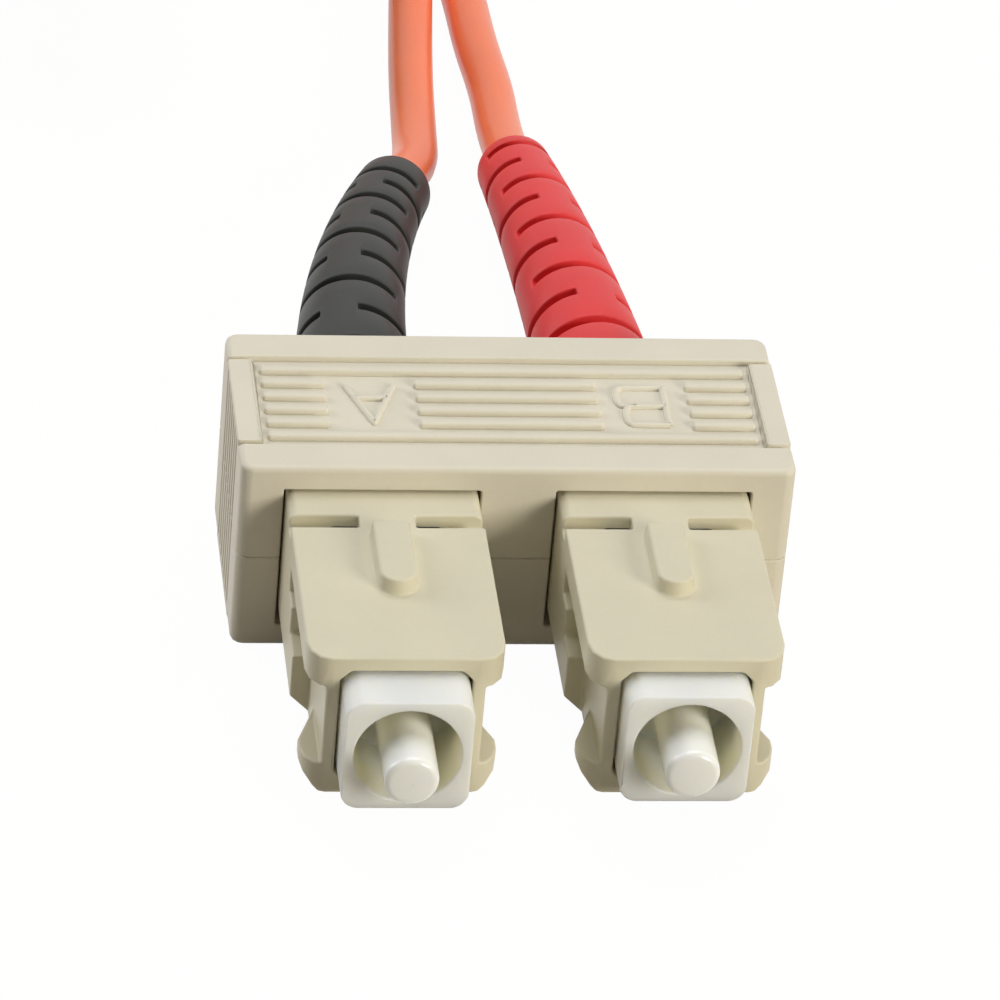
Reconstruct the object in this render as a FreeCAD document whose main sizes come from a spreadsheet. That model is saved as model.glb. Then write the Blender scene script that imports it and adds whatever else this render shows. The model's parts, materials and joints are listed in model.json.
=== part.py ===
"""Duplex fibre optic patch cable, 1 m: a push-pull duplex connector at each end of a zip cord.

Frame: millimetres, +Z up, the underside of the near clip on z = 0, the origin in the middle of it.
The near connector points along -Y, its cord leaves along +Y, and channel a is on -X.
Each master below is drawn about its own connector axis, which is Y, with y = 0 at its own front,
and the nodes are links to the masters with a place of their own.
"""
import FreeCAD, Part
import math
import os

import Sketcher

V = FreeCAD.Vector
doc = FreeCAD.newDocument("fibre_patch_cable")

# Driving dimensions, in mm and degrees
SIZES = {
    "channel_pitch": 12.7,
    "running_gap": 0.05,
    "seat_gap": 0.02,
    # grip sleeves
    "sleeve_width": 9.0,
    "sleeve_height": 7.4,
    "sleeve_length": 22.6,
    "sleeve_edge": 0.85,
    "sleeve_nose_x": 1.15,
    "sleeve_nose_y": 1.4,
    "cavity_gap": 0.1,
    "rear_room": 0.2,
    "rear_room_length": 9.2,
    "channel_depth": 0.9,
    "channel_top": 2.1,
    "channel_low": 2.1,
    "ramp_start": 2.0,
    "ramp_end": 4.2,
    "step_start": 6.3,
    "step_low": 0.6,
    "shelf_start": 8.15,
    "shelf_height": 0.8,
    "channel_end": 9.5,
    "window_start": 3.2,
    "window_length": 4.3,
    "window_low": 0.15,
    "window_height": 1.8,
    "top_length": 10.55,
    "slot_width": 0.95,
    "bridge_width": 2.6,
    "key_width": 1.9,
    "key_front": 4.95,
    "key_height": 0.8,
    "key_draft": 8.0,
    # duplex clip
    "clip_width": 26.0,
    "clip_length": 11.7,
    "clip_height": 10.0,
    "clip_corner": 0.6,
    "clip_start": 13.4,
    "clip_back_wall": 1.5,
    "clip_gap": 0.1,
    "boot_hole_gap": 0.55,
    "rim_length": 2.1,
    "field_depth": 0.3,
    "rib_width": 0.34,
    "rib_pitch": 1.13,
    "rib_margin": 0.45,
    "mark_inner": 4.35,
    "mark_outer": 8.35,
    "pad_width": 1.2,
    "pad_gap": 0.25,
    "side_groove": 0.45,
    "side_groove_depth": 0.25,
    "side_groove_top": 0.35,
    "side_pitch": 0.95,
    "lock_start": 3.6,
    "lock_width": 1.0,
    "lock_span": 5.4,
    "lock_height": 0.5,
    "peg_side": 1.0,
    "peg_length": 1.4,
    "peg_offset": 0.9,
    # plug frames
    "frame_side": 5.8,
    "frame_edge": 0.5,
    "frame_length": 13.5,
    "frame_bore": 4.9,
    "frame_bore_depth": 4.0,
    "web_thickness": 1.0,
    "web_bore": 3.0,
    "chamber_side": 4.5,
    "lug_start": 6.9,
    "lug_length": 1.6,
    "lug_reach": 0.65,
    "lug_height": 1.5,
    "plug_lead_a": 2.3,
    "plug_lead_b": 1.75,
    # ferrules and their springs
    "ferrule_diameter": 2.5,
    "ferrule_length": 10.5,
    "ferrule_lead": 2.05,
    "ferrule_chamfer": 0.3,
    "ferrule_seat": 2.1,
    "flange_corners": 4.36,
    "flange_length": 3.6,
    "ferrule_travel": 1.0,
    "spring_wire": 0.4,
    "spring_diameter": 3.7,
    "spring_turns": 4.0,
    # stop bodies, crimp sleeves and boots
    "stop_collar": 1.5,
    "stop_side": 5.2,
    "stem_diameter": 3.4,
    "stem_length": 5.0,
    "crimp_corners": 4.9,
    "boot_start": 17.2,
    "boot_diameter": 5.8,
    "boot_tip_diameter": 4.0,
    "boot_tail": 28.0,
    "boot_ring_first": 2.2,
    "boot_ring_pitch": 2.72,
    "boot_slot": 0.4,
    "boot_core": 2.8,
    "boot_a_aside": 5.0,
    "boot_b_aside": -2.1,
    "boot_drop": 2.75,
    "boot_a_turn": -15.0,
    "boot_b_turn": 110.0,
    # cord, coil and ties
    "jacket_diameter": 2.4,
    "zip_web": 0.2,
    "zip_web_thickness": 0.6,
    "coil_x": -20.0,
    "coil_y": 96.0,
    "coil_radius": 31.0,
    "coil_lift": 0.5,
    "turn_gap": 0.05,
    "tie_width": 2.5,
    "tie_thickness": 0.45,
    # far connector's place: aside from the near one, where its boots end, and above the coil
    "far_x": -24.5,
    "far_reach": 100.45,
    "far_z": 5.55,
}

sheet = doc.addObject("Spreadsheet::Sheet", "Sizes")
for row, (alias, value) in enumerate(SIZES.items(), start=1):
    sheet.set(f"A{row}", alias)
    sheet.set(f"B{row}", str(value))
    sheet.setAlias(f"B{row}", alias)
doc.recompute()


def size(alias):
    """A driving dimension's value in the sheet."""
    return float(sheet.get(alias))


def bind(thing, **expressions):
    """Ties properties of a document object to expressions on the sheet's cells."""
    for name, expression in expressions.items():
        thing.setExpression(name, expression)


def S(alias):
    """The expression for one cell of the sheet."""
    return "Sizes." + alias


# Sketch helpers: every corner, centre and radius is a constraint tied to the sheet


def new_sketch(body, name, plane, lift=None):
    """A sketch on one of the body's own origin planes, lifted along the plane's normal."""
    sketch = body.newObject("Sketcher::SketchObject", name)
    origin = [f for f in body.Origin.OriginFeatures if f.Role == plane][0]
    sketch.AttachmentSupport = (origin, [""])
    sketch.MapMode = "FlatFace"
    if lift:
        sketch.setExpression("AttachmentOffset.Base.z", lift)
    return sketch


def place_point(sketch, geometry, position, across, up):
    """Ties one point of a sketch to two expressions, measured from the sketch's origin."""
    for kind, expression in (("DistanceX", across), ("DistanceY", up)):
        value = float(sketch.evalExpression(expression))
        index = sketch.addConstraint(Sketcher.Constraint(kind, -1, 1, geometry, position, value))
        sketch.setExpression(f"Constraints[{index}]", expression)


def add_polygon(sketch, corners):
    """Draws a closed outline through corners, each a pair of expressions."""
    points = [V(float(sketch.evalExpression(x)), float(sketch.evalExpression(y)), 0) for x, y in corners]
    count = len(points)
    first = sketch.GeometryCount
    for i in range(count):
        sketch.addGeometry(Part.LineSegment(points[i], points[(i + 1) % count]), False)
    for i in range(count):
        follower = first + (i + 1) % count
        sketch.addConstraint(Sketcher.Constraint("Coincident", first + i, 2, follower, 1))
    for i, (x, y) in enumerate(corners):
        place_point(sketch, first + i, 1, x, y)


def add_box(sketch, left, right, low, high):
    """Draws a rectangle between four expressions."""
    add_polygon(sketch, [(left, low), (right, low), (right, high), (left, high)])


def add_circle(sketch, x, y, diameter):
    """Draws a circle about a point given by expressions."""
    radius = float(sketch.evalExpression(diameter)) / 2
    centre = V(float(sketch.evalExpression(x)), float(sketch.evalExpression(y)), 0)
    geometry = sketch.addGeometry(Part.Circle(centre, V(0, 0, 1), radius), False)
    place_point(sketch, geometry, 3, x, y)
    index = sketch.addConstraint(Sketcher.Constraint("Diameter", geometry, 2 * radius))
    sketch.setExpression(f"Constraints[{index}]", diameter)


def octagon(half, edge):
    """The corners of a square with chamfered edges, from expressions."""
    near = f"({half} - {edge})"
    return [(f"-({half})", f"-{near}"), (f"-{near}", f"-({half})"), (near, f"-({half})"), (half, f"-{near}"),
            (half, near), (near, half), (f"-{near}", half), (f"-({half})", near)]


def round_corner(across, along, reach_x, reach_y, signs=("", "")):
    """Four points round a corner at (across, along), which the rounding leaves by its two reaches."""
    points = []
    for degrees in (0, 30, 60, 90):
        turn = math.radians(degrees)
        x, y = 1 - math.cos(turn), 1 - math.sin(turn)
        points.append((f"{signs[0]}({across} - {reach_x} * {x:.5f})", f"{signs[1]}({along} - {reach_y} * {y:.5f})"))
    return points


def feature(body, kind, name, profile, length=None, reverse=False, both_ways=False):
    """A Pad or Pocket of a sketch by a length expression, or right through for a Pocket."""
    made = body.newObject("PartDesign::" + kind, name)
    made.Profile = profile
    if length:
        made.setExpression("Length", length)
    else:
        made.Type = "ThroughAll"
    made.Reversed = reverse
    if both_ways:
        made.SideType = "Symmetric"
    doc.recompute()
    return made


def pattern(body, name, original, axis_role, count, length):
    """Repeats a feature along one of the body's origin axes, over a length given by an expression."""
    made = body.newObject("PartDesign::LinearPattern", name)
    made.Originals = [original]
    axis = [f for f in body.Origin.OriginFeatures if f.Role == axis_role][0]
    made.Direction = (axis, [""])
    made.Occurrences = count
    made.setExpression("Length", length)
    body.Tip = made
    doc.recompute()
    return made


def turned_body(name, profile):
    """A body of revolution about Y from a closed half outline of (radius, y) expressions."""
    body = doc.addObject("PartDesign::Body", name)
    sketch = new_sketch(body, name + "_outline", "XY_Plane")
    add_polygon(sketch, profile)
    doc.recompute()
    turn = body.newObject("PartDesign::Revolution", name + "_turn")
    turn.Profile = sketch
    turn.ReferenceAxis = (sketch, ["V_Axis"])
    turn.Angle = 360
    doc.recompute()
    return body


# Grip sleeve: y = 0 at its front face


def build_sleeve():
    """The push-pull outer housing: a tube with a key, stepped side channels, ramps, windows and top slots."""
    body = doc.addObject("PartDesign::Body", "sleeve_master")
    half = S("sleeve_width") + " / 2"
    top = S("sleeve_height") + " / 2"
    edge = S("sleeve_edge")
    section = new_sketch(body, "sleeve_section", "XZ_Plane")
    add_polygon(section, [
        (f"-({half})", f"-({top}) + {edge}"),
        (f"-({half}) + {edge}", f"-({top})"),
        (f"{half} - {edge}", f"-({top})"),
        (half, f"-({top}) + {edge}"),
        (half, top),
        (f"-({half})", top),
    ])
    roof = f"({S('frame_side')} / 2 + {S('cavity_gap')})"
    add_polygon(section, octagon(roof, S("frame_edge")))
    feature(body, "Pad", "sleeve_tube", section, S("sleeve_length"), reverse=True)

    room = new_sketch(body, "rear_room_outline", "XZ_Plane", f"-{S('sleeve_length')}")
    room_half = f"({S('boot_diameter')} / 2 + {S('rear_room')})"
    add_box(room, f"-{room_half}", room_half, f"-{room_half}", room_half)
    feature(body, "Pocket", "rear_room_cut", room, S("rear_room_length"), reverse=True)

    key = new_sketch(body, "key_outline", "XY_Plane", top)
    key_half = S("key_width") + " / 2"
    nose = f"{S('key_front')} + {key_half}"
    back = f"{S('top_length')} + {S('slot_width')} / 2"
    draw_key(key, key_half, nose, back)
    padded = feature(body, "Pad", "key", key, S("key_height"))
    padded.setExpression("TaperAngle", f"-{S('key_draft')}")
    doc.recompute()

    noses = new_sketch(body, "front_corners", "XY_Plane")
    for side in ("", "-"):
        rounding = round_corner(half, "0", S("sleeve_nose_x"), f"-{S('sleeve_nose_y')}", (side, ""))
        add_polygon(noses, [(f"{side}({half})", "0")] + rounding)
    feature(body, "Pocket", "front_corner_cuts", noses, both_ways=True)

    # A stepped channel on each flank takes an adapter's hook, and under it a ramp spreads the hook
    floor = f"({half} - {S('channel_depth')})"
    below = f"-({top}) - 1"
    for side, flip in (("right", False), ("left", True)):
        lift = f"-{floor}" if flip else floor
        channel = new_sketch(body, side + "_channel_outline", "YZ_Plane", lift)
        add_polygon(channel, [
            ("0", f"-{S('channel_low')}"),
            (S("ramp_end"), f"-{S('channel_low')}"),
            (S("ramp_end"), below),
            (S("step_start"), below),
            (S("step_start"), f"-{S('step_low')}"),
            (S("shelf_start"), f"-{S('step_low')}"),
            (S("shelf_start"), S("shelf_height")),
            (S("channel_end"), S("shelf_height")),
            (S("channel_end"), S("channel_top")),
            ("0", S("channel_top")),
        ])
        feature(body, "Pocket", side + "_channel", channel, reverse=not flip)
    ramps = new_sketch(body, "ramp_outline", "XY_Plane", f"-{S('channel_low')}")
    for side in ("", "-"):
        add_polygon(ramps, [
            (f"{side}({half})", S("ramp_start")),
            (f"{side}({half} + 1)", S("ramp_start")),
            (f"{side}({half} + 1)", S("ramp_end")),
            (f"{side}{floor}", S("ramp_end")),
        ])
    feature(body, "Pocket", "ramps", ramps)

    windows = new_sketch(body, "window_outline", "YZ_Plane")
    add_box(windows, S("window_start"), f"{S('window_start')} + {S('window_length')}",
            S("window_low"), f"{S('window_low')} + {S('window_height')}")
    feature(body, "Pocket", "windows", windows, both_ways=True)

    for name, lift, reverse in (("top", roof, True), ("bottom", f"-({roof})", False)):
        slots = new_sketch(body, name + "_slot_outline", "XY_Plane", lift)
        far = f"{half} + 1"
        start = f"{S('top_length')} + {S('slot_width')}"
        bridge = S("bridge_width") + " / 2"
        add_box(slots, bridge, far, S("top_length"), start)
        add_box(slots, f"-({far})", f"-({bridge})", S("top_length"), start)
        lock = f"{S('clip_start')} + {S('lock_start')} - {S('seat_gap')}"
        lock_half = f"{S('lock_span')} / 2 + {S('seat_gap')}"
        add_box(slots, f"-({lock_half})", lock_half, lock,
                f"{lock} + {S('lock_width')} + 2 * {S('seat_gap')}")
        feature(body, "Pocket", name + "_slots", slots, reverse=reverse)
    return body


def draw_key(sketch, half, nose, back):
    """Draws the key's outline: straight flanks and a round front, from expressions."""
    reach = float(sketch.evalExpression(half))
    front = float(sketch.evalExpression(nose))
    rear = float(sketch.evalExpression(back))
    corners = [V(-reach, front, 0), V(-reach, rear, 0), V(reach, rear, 0), V(reach, front, 0)]
    for first, second in zip(corners, corners[1:]):
        sketch.addGeometry(Part.LineSegment(first, second), False)
    tip = Part.Arc(corners[0], V(0, front - reach, 0), corners[3])
    sketch.addGeometry(tip, False)
    for line in (0, 1):
        sketch.addConstraint(Sketcher.Constraint("Coincident", line, 2, line + 1, 1))
    sketch.addConstraint(Sketcher.Constraint("Coincident", 2, 2, 3, 2))
    sketch.addConstraint(Sketcher.Constraint("Coincident", 3, 1, 0, 1))
    place_point(sketch, 0, 1, f"-({half})", nose)
    place_point(sketch, 1, 1, f"-({half})", back)
    place_point(sketch, 2, 1, half, back)
    place_point(sketch, 2, 2, half, nose)
    centre = sketch.addConstraint(Sketcher.Constraint("DistanceY", -1, 1, 3, 3, front))
    sketch.setExpression(f"Constraints[{centre}]", nose)


# Duplex clip half: z = 0 on the parting plane, y = 0 in the middle; both halves come from one mould


def build_clip_half():
    """Half of the clip: two open troughs, a back wall with boot notches, ribs, grip pads and snap pegs."""
    body = doc.addObject("PartDesign::Body", "clip_master")
    half = S("clip_width") + " / 2"
    end = S("clip_length") + " / 2"
    tall = S("clip_height") + " / 2"
    corner = S("clip_corner")
    outline = new_sketch(body, "clip_outline", "XY_Plane")
    corners = []
    for signs, turned in ((("", ""), 1), (("-", ""), -1), (("-", "-"), 1), (("", "-"), -1)):
        corners += round_corner(half, end, corner, corner, signs)[::turned]
    add_polygon(outline, corners)
    feature(body, "Pad", "clip_block", outline, tall)

    field_end = f"{end} - {S('rim_length')}"
    field = new_sketch(body, "field_outline", "XY_Plane", tall)
    add_box(field, f"-({half}) - 1", f"{half} + 1", f"-({field_end})", field_end)
    feature(body, "Pocket", "field", field, S("field_depth"))

    axis = S("channel_pitch") + " / 2"
    trough_half = f"({S('sleeve_width')} / 2 + {S('clip_gap')})"
    trough_roof = f"{S('sleeve_height')} / 2 + {S('clip_gap')}"
    troughs = new_sketch(body, "trough_outline", "XZ_Plane", end)
    notches = new_sketch(body, "notch_outline", "XZ_Plane", end)
    hole_size = f"({S('boot_diameter')} + 2 * {S('boot_hole_gap')})"
    for side in ("", "-"):
        left, right = f"{side}({axis}) - {trough_half}", f"{side}({axis}) + {trough_half}"
        add_box(troughs, left, right, "-1", trough_roof)
        corners = []
        for i in range(16):
            turn = math.pi * (i + 0.5) / 8
            corners.append((f"{side}({axis}) + {hole_size} * {0.507 * math.cos(turn):.5f}",
                            f"{hole_size} * {0.507 * math.sin(turn):.5f}"))
        add_polygon(notches, corners)
    feature(body, "Pocket", "troughs", troughs, f"{S('clip_length')} - {S('clip_back_wall')}")
    feature(body, "Pocket", "boot_notches", notches)

    locks = new_sketch(body, "lock_outline", "XY_Plane", trough_roof)
    lock = f"-({end}) + {S('lock_start')}"
    for side in ("", "-"):
        middle = f"{side}({axis})"
        add_box(locks, f"{middle} - {S('lock_span')} / 2", f"{middle} + {S('lock_span')} / 2",
                lock, f"{lock} + {S('lock_width')}")
    feature(body, "Pad", "lock_ribs", locks, S("lock_height"), reverse=True)

    floor = f"{tall} - {S('field_depth')}"
    rib_end = f"({half} - {S('pad_width')} - {S('pad_gap')})"
    first = f"({field_end} - {S('rib_margin')})"
    thick = S("rib_width") + " / 2"
    rows = new_sketch(body, "full_rib_outline", "XY_Plane", floor)
    for count in (0, 1, 6):
        middle = f"{first} - {count} * {S('rib_pitch')}"
        add_box(rows, f"-{rib_end}", rib_end, f"{middle} - {thick}", f"{middle} + {thick}")
    pad_end = f"({field_end} - {S('pad_gap')})"
    for side in ("", "-"):
        inner, outer = f"{side}({half} - {S('pad_width')})", f"{side}({half})"
        add_box(rows, inner, outer, f"-{pad_end}", pad_end)
    feature(body, "Pad", "ribs_and_pads", rows, S("field_depth"))

    broken = new_sketch(body, "broken_rib_outline", "XY_Plane", floor)
    middle = f"{first} - 2 * {S('rib_pitch')}"
    for left, right in ((f"-{rib_end}", f"-{S('mark_outer')}"),
                        (f"-{S('mark_inner')}", S("mark_inner")),
                        (S("mark_outer"), rib_end)):
        add_box(broken, left, right, f"{middle} - {thick}", f"{middle} + {thick}")
    row = feature(body, "Pad", "broken_rib", broken, S("field_depth"))
    repeated = pattern(body, "broken_ribs", row, "Y_Axis", 4, f"3 * {S('rib_pitch')}")
    repeated.Reversed = True
    doc.recompute()

    grooves = new_sketch(body, "side_groove_outline", "XY_Plane")
    lowest = f"-3 * {S('side_pitch')}"
    wide = S("side_groove") + " / 2"
    for side in ("", "-"):
        add_box(grooves, f"{side}({half} - {S('side_groove_depth')})", f"{side}({half} + 1)",
                f"{lowest} - {wide}", f"{lowest} + {wide}")
    groove = feature(body, "Pocket", "side_groove_cut", grooves, f"{tall} - {S('side_groove_top')}", reverse=True)
    pattern(body, "side_grooves", groove, "Y_Axis", 7, f"6 * {S('side_pitch')}")

    pegs = new_sketch(body, "peg_outline", "XY_Plane")
    holes = new_sketch(body, "peg_hole_outline", "XY_Plane")
    peg = f"{S('peg_side')} / 2"
    hole = f"({peg} + {S('seat_gap')})"
    wall = f"({half} + {axis} + {trough_half}) / 2"
    for place in (S("peg_offset"), wall):
        add_box(pegs, f"{place} - {peg}", f"{place} + {peg}", f"-({peg})", peg)
        add_box(holes, f"-({place}) - {hole}", f"-({place}) + {hole}", f"-{hole}", hole)
    feature(body, "Pad", "pegs", pegs, S("peg_length"), reverse=True)
    feature(body, "Pocket", "peg_holes", holes, f"{S('peg_length')} + 0.1", reverse=True)
    return body


# Stations along the plug's axis, from the plug frame's front

SEAT = S("seat_gap")
FLANGE_FRONT = f"{S('frame_bore_depth')} + {S('web_thickness')} + {SEAT}"
FLANGE_BACK = f"{FLANGE_FRONT} + {S('flange_length')}"
FERRULE_TIP = f"-{S('ferrule_lead')}"
FERRULE_END = f"{FERRULE_TIP} + {S('ferrule_length')}"
COLLAR_FRONT = f"{S('frame_length')} + {SEAT}"
COLLAR_BACK = f"{COLLAR_FRONT} + {S('stop_collar')}"
STEM_END = f"{COLLAR_BACK} + {S('stem_length')}"


def value_of(expression):
    """An expression's value, with the sheet's cells in it."""
    return float(sheet.evalExpression(expression))


# Plug frame: y = 0 at its front face


def build_frame(name, open_inside):
    """The white inner housing: a square barrel with side lugs and a round front bore.

    Inside it is either open, with a web and a square spring chamber, or solid round the ferrule's hole.
    """
    body = doc.addObject("PartDesign::Body", name)
    half = S("frame_side") + " / 2"
    section = new_sketch(body, name + "_section", "XZ_Plane")
    add_polygon(section, octagon(half, S("frame_edge")))
    feature(body, "Pad", name + "_barrel", section, S("frame_length"), reverse=True)

    lugs = new_sketch(body, name + "_lug_outline", "YZ_Plane")
    low = f"{S('window_low')} + ({S('window_height')} - {S('lug_height')}) / 2"
    add_box(lugs, S("lug_start"), f"{S('lug_start')} + {S('lug_length')}", low, f"{low} + {S('lug_height')}")
    feature(body, "Pad", name + "_lugs", lugs, f"{S('frame_side')} + 2 * {S('lug_reach')}", both_ways=True)

    web = f"{S('frame_bore_depth')} + {S('web_thickness')}"
    slide = f"{S('ferrule_diameter')} + 2 * {S('running_gap')}"
    behind = f"{FERRULE_END} + {S('ferrule_travel')} + 0.3"
    hole, depth = (S("web_bore"), f"{web} + 1") if open_inside else (slide, behind)
    for cut, diameter, length in (("front_bore", S("frame_bore"), S("frame_bore_depth")),
                                  ("ferrule_hole", hole, depth)):
        circle = new_sketch(body, f"{name}_{cut}_outline", "XZ_Plane")
        add_circle(circle, "0", "0", diameter)
        feature(body, "Pocket", f"{name}_{cut}", circle, length)
    if open_inside:
        chamber = new_sketch(body, name + "_chamber_outline", "XZ_Plane", f"-{S('frame_length')}")
        side = S("chamber_side") + " / 2"
        add_box(chamber, f"-({side})", side, f"-({side})", side)
        feature(body, "Pocket", name + "_chamber", chamber, f"{S('frame_length')} - ({web})", reverse=True)
    return body


# Pieces behind and inside the plug frame, in the plug frame's own y


def build_ferrule(name, stepped):
    """The ceramic ferrule with its lead-in chamfer, and where asked a seat behind the bore for its holder."""
    r = S("ferrule_diameter") + " / 2"
    c = S("ferrule_chamfer")
    rear = [(r, FERRULE_END)]
    if stepped:
        seat = S("ferrule_seat") + " / 2"
        rear = [(r, S("frame_bore_depth")), (seat, S("frame_bore_depth")), (seat, FERRULE_END)]
    front = [("0", FERRULE_TIP), (f"{r} - {c}", FERRULE_TIP), (r, f"{FERRULE_TIP} + {c} * 1.2")]
    return turned_body(name, front + rear + [("0", FERRULE_END)])


def add_hexagon(sketch, corners):
    """Draws a hexagon by the expression for its size across corners."""
    r = f"({corners}) / 2"
    half, flat = f"{r} * 0.5", f"{r} * sqrt(3) / 2"
    add_polygon(sketch, [(r, "0"), (half, flat), (f"-({half})", flat),
                         (f"-({r})", "0"), (f"-({half})", f"-({flat})"), (half, f"-({flat})")])


def hexagon_sleeve(name, corners, bore, front, length):
    """A hexagonal sleeve with a round bore, from expressions."""
    body = doc.addObject("PartDesign::Body", name)
    section = new_sketch(body, name + "_section", "XZ_Plane", f"-({front})")
    add_hexagon(section, corners)
    add_circle(section, "0", "0", bore)
    feature(body, "Pad", name + "_pad", section, length, reverse=True)
    return body


def build_flange():
    """The hexagonal metal holder that the ferrule is pressed into."""
    return hexagon_sleeve("flange_master", S("flange_corners"), f"{S('ferrule_seat')} + 2 * {SEAT}",
                          FLANGE_FRONT, S("flange_length"))


def build_crimp():
    """The crimp sleeve, pressed to a hexagon round the stop body's stem."""
    return hexagon_sleeve("crimp_master", S("crimp_corners"), f"{S('stem_diameter')} + 2 * {SEAT}",
                          f"{COLLAR_BACK} + {SEAT}", f"{S('stem_length')} - {SEAT}")


def build_stop_body():
    """The stop body that closes the plug frame and backs the spring, with the stem for the crimp sleeve."""
    body = doc.addObject("PartDesign::Body", "stop_master")
    collar = new_sketch(body, "stop_collar_outline", "XZ_Plane", f"-({COLLAR_FRONT})")
    side = S("stop_side") + " / 2"
    add_box(collar, f"-({side})", side, f"-({side})", side)
    feature(body, "Pad", "stop_collar_pad", collar, S("stop_collar"), reverse=True)
    stem = new_sketch(body, "stem_outline", "XZ_Plane", f"-({COLLAR_BACK})")
    add_circle(stem, "0", "0", S("stem_diameter"))
    feature(body, "Pad", "stem", stem, S("stem_length"), reverse=True)
    return body


def build_spring():
    """The coil spring between the flange and the stop body: square wire, in eight straight runs a turn."""
    wire = size("spring_wire") / 2
    ring = size("spring_diameter") / 2 - wire
    front = value_of(FLANGE_BACK) + size("seat_gap") + wire
    back = value_of(COLLAR_FRONT) - size("seat_gap") - wire
    runs = int(round(8 * size("spring_turns")))
    sections = []
    for station in range(runs + 1):
        turn = 2 * math.pi * station / 8
        out = V(math.cos(turn), 0, math.sin(turn))
        middle = out * ring + V(0, front + (back - front) * station / runs, 0)
        corners = [middle + out * (u * wire) + V(0, v * wire, 0) for u, v in ((1, 1), (1, -1), (-1, -1), (-1, 1))]
        sections.append(Part.makePolygon(corners + corners[:1]))
    spring = doc.addObject("Part::Feature", "spring_master")
    spring.Shape = Part.makeLoft(sections, True, True)
    return spring


class BootLine:
    """The boot's centre line: straight to the clip's back, then one arc. Distances run from that point."""

    def __init__(self, aside, lead):
        self.bend = V(0, size("clip_start") + size("clip_length") + lead, 0)
        drop = size("boot_drop")
        shift = math.hypot(aside, drop)
        self.way = V(aside, 0, -drop) / shift
        self.angle = 2 * math.atan(shift / size("boot_tail"))
        self.radius = size("boot_tail") / self.angle

    def at(self, distance):
        """The point and direction at a distance along the line, which is negative before the bend."""
        if distance <= 0:
            return self.bend + V(0, distance, 0), V(0, 1, 0)
        turn = distance / self.radius
        point = self.bend + V(0, self.radius * math.sin(turn), 0)
        point = point + self.way * (self.radius * (1 - math.cos(turn)))
        return point, V(0, math.cos(turn), 0) + self.way * math.sin(turn)

    def section(self, distance, radius):
        """A sixteen-sided section across the line, as near a circle as its corners allow."""
        point, direction = self.at(distance)
        turn = FreeCAD.Rotation(V(0, 1, 0), direction)
        corners = []
        for i in range(17):
            angle = math.pi * (i + 0.5) / 8
            corners.append(point + turn.multVec(V(math.cos(angle), 0, math.sin(angle))) * (radius * 1.0065))
        return Part.makePolygon(corners)


def build_boot(name, line, roll, start, slotted):
    """A strain relief boot: a bent taper, with pairs of slots that turn by 90 degrees from ring to ring."""
    tail = size("boot_tail")
    root, tip = size("boot_diameter") / 2, size("boot_tip_diameter") / 2
    along = V(0, 1, 0)
    rings = [line.section(start - line.bend.y, root)]
    stations = 4 if slotted else 3
    for station in range(stations + 1):
        share = station / stations
        rings.append(line.section(tail * share, root + (tip - root) * share))
    shape = Part.makeLoft(rings, True, True)
    if slotted:
        cutters = []
        ring, distance = 0, size("boot_ring_first")
        while distance < tail - size("boot_slot"):
            point, direction = line.at(distance)
            across = FreeCAD.Placement(point, FreeCAD.Rotation(along, direction))
            for half_turn in (0, 180):
                box = Part.makeBox(4 * root, size("boot_slot"), 2 * root)
                box.translate(V(-2 * root, -size("boot_slot") / 2, size("boot_core") / 2))
                box.rotate(V(0, 0, 0), along, roll + 90 * (ring % 2) + half_turn)
                box.Placement = across * box.Placement
                cutters.append(box)
            ring += 1
            distance += size("boot_ring_pitch")
        shape = shape.cut(Part.makeCompound(cutters))
        crimp_room = size("crimp_corners") / 2 + size("seat_gap")
        points = [V(math.cos(math.pi * i / 3), 0, math.sin(math.pi * i / 3)) * crimp_room for i in range(7)]
        hexagon = Part.Face(Part.makePolygon([p + V(0, start - 1, 0) for p in points]))
        shape = shape.cut(hexagon.extrude(V(0, value_of(STEM_END) + size("seat_gap") - start + 1, 0)))
    boot = doc.addObject("Part::Feature", name)
    boot.Shape = shape.Solids[0]
    if len(shape.Solids) != 1:
        raise RuntimeError(f"{name}: {len(shape.Solids)} solids")
    return boot


# Cord: a round jacket behind each plug, a zip cord of two jackets on edge between them, in one coil


def cord_edges(name, points):
    """Straight runs joined by tangent arcs that take 0.45 of the shorter run, with their radii printed."""
    points = [V(*p) for p in points]
    edges, radii = [], []
    last = points[0]
    for before, corner, after in zip(points, points[1:], points[2:]):
        into, out = (corner - before).normalize(), (after - corner).normalize()
        cut = 0.45 * min((corner - before).Length, (after - corner).Length)
        half = into.getAngle(out) / 2
        radius = cut / math.tan(half)
        radii.append(radius)
        start, end = corner - into * cut, corner + out * cut
        middle = corner + (out - into).normalize() * (radius * (1 / math.cos(half) - 1))
        edges += [Part.LineSegment(last, start).toShape(), Part.Arc(start, middle, end).toShape()]
        last = end
    edges.append(Part.LineSegment(last, points[-1]).toShape())
    print(name, "radii", [round(radius, 1) for radius in radii])
    return edges


def polygon_face(points):
    """A flat face through points."""
    return Part.Face(Part.makePolygon(points + points[:1]))


def jacket_face(point, direction, sides):
    """A plain jacket section with so many sides and a circle's area, with a flat downwards."""
    turn = FreeCAD.Rotation(V(0, 1, 0), direction)
    radius = size("jacket_diameter") / 2 * math.sqrt(2 * math.pi / sides / math.sin(2 * math.pi / sides))
    angles = [2 * math.pi * (i + 0.5) / sides - math.pi / 2 for i in range(sides)]
    return polygon_face([point + turn.multVec(V(math.cos(a), 0, math.sin(a))) * radius for a in angles])


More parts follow.
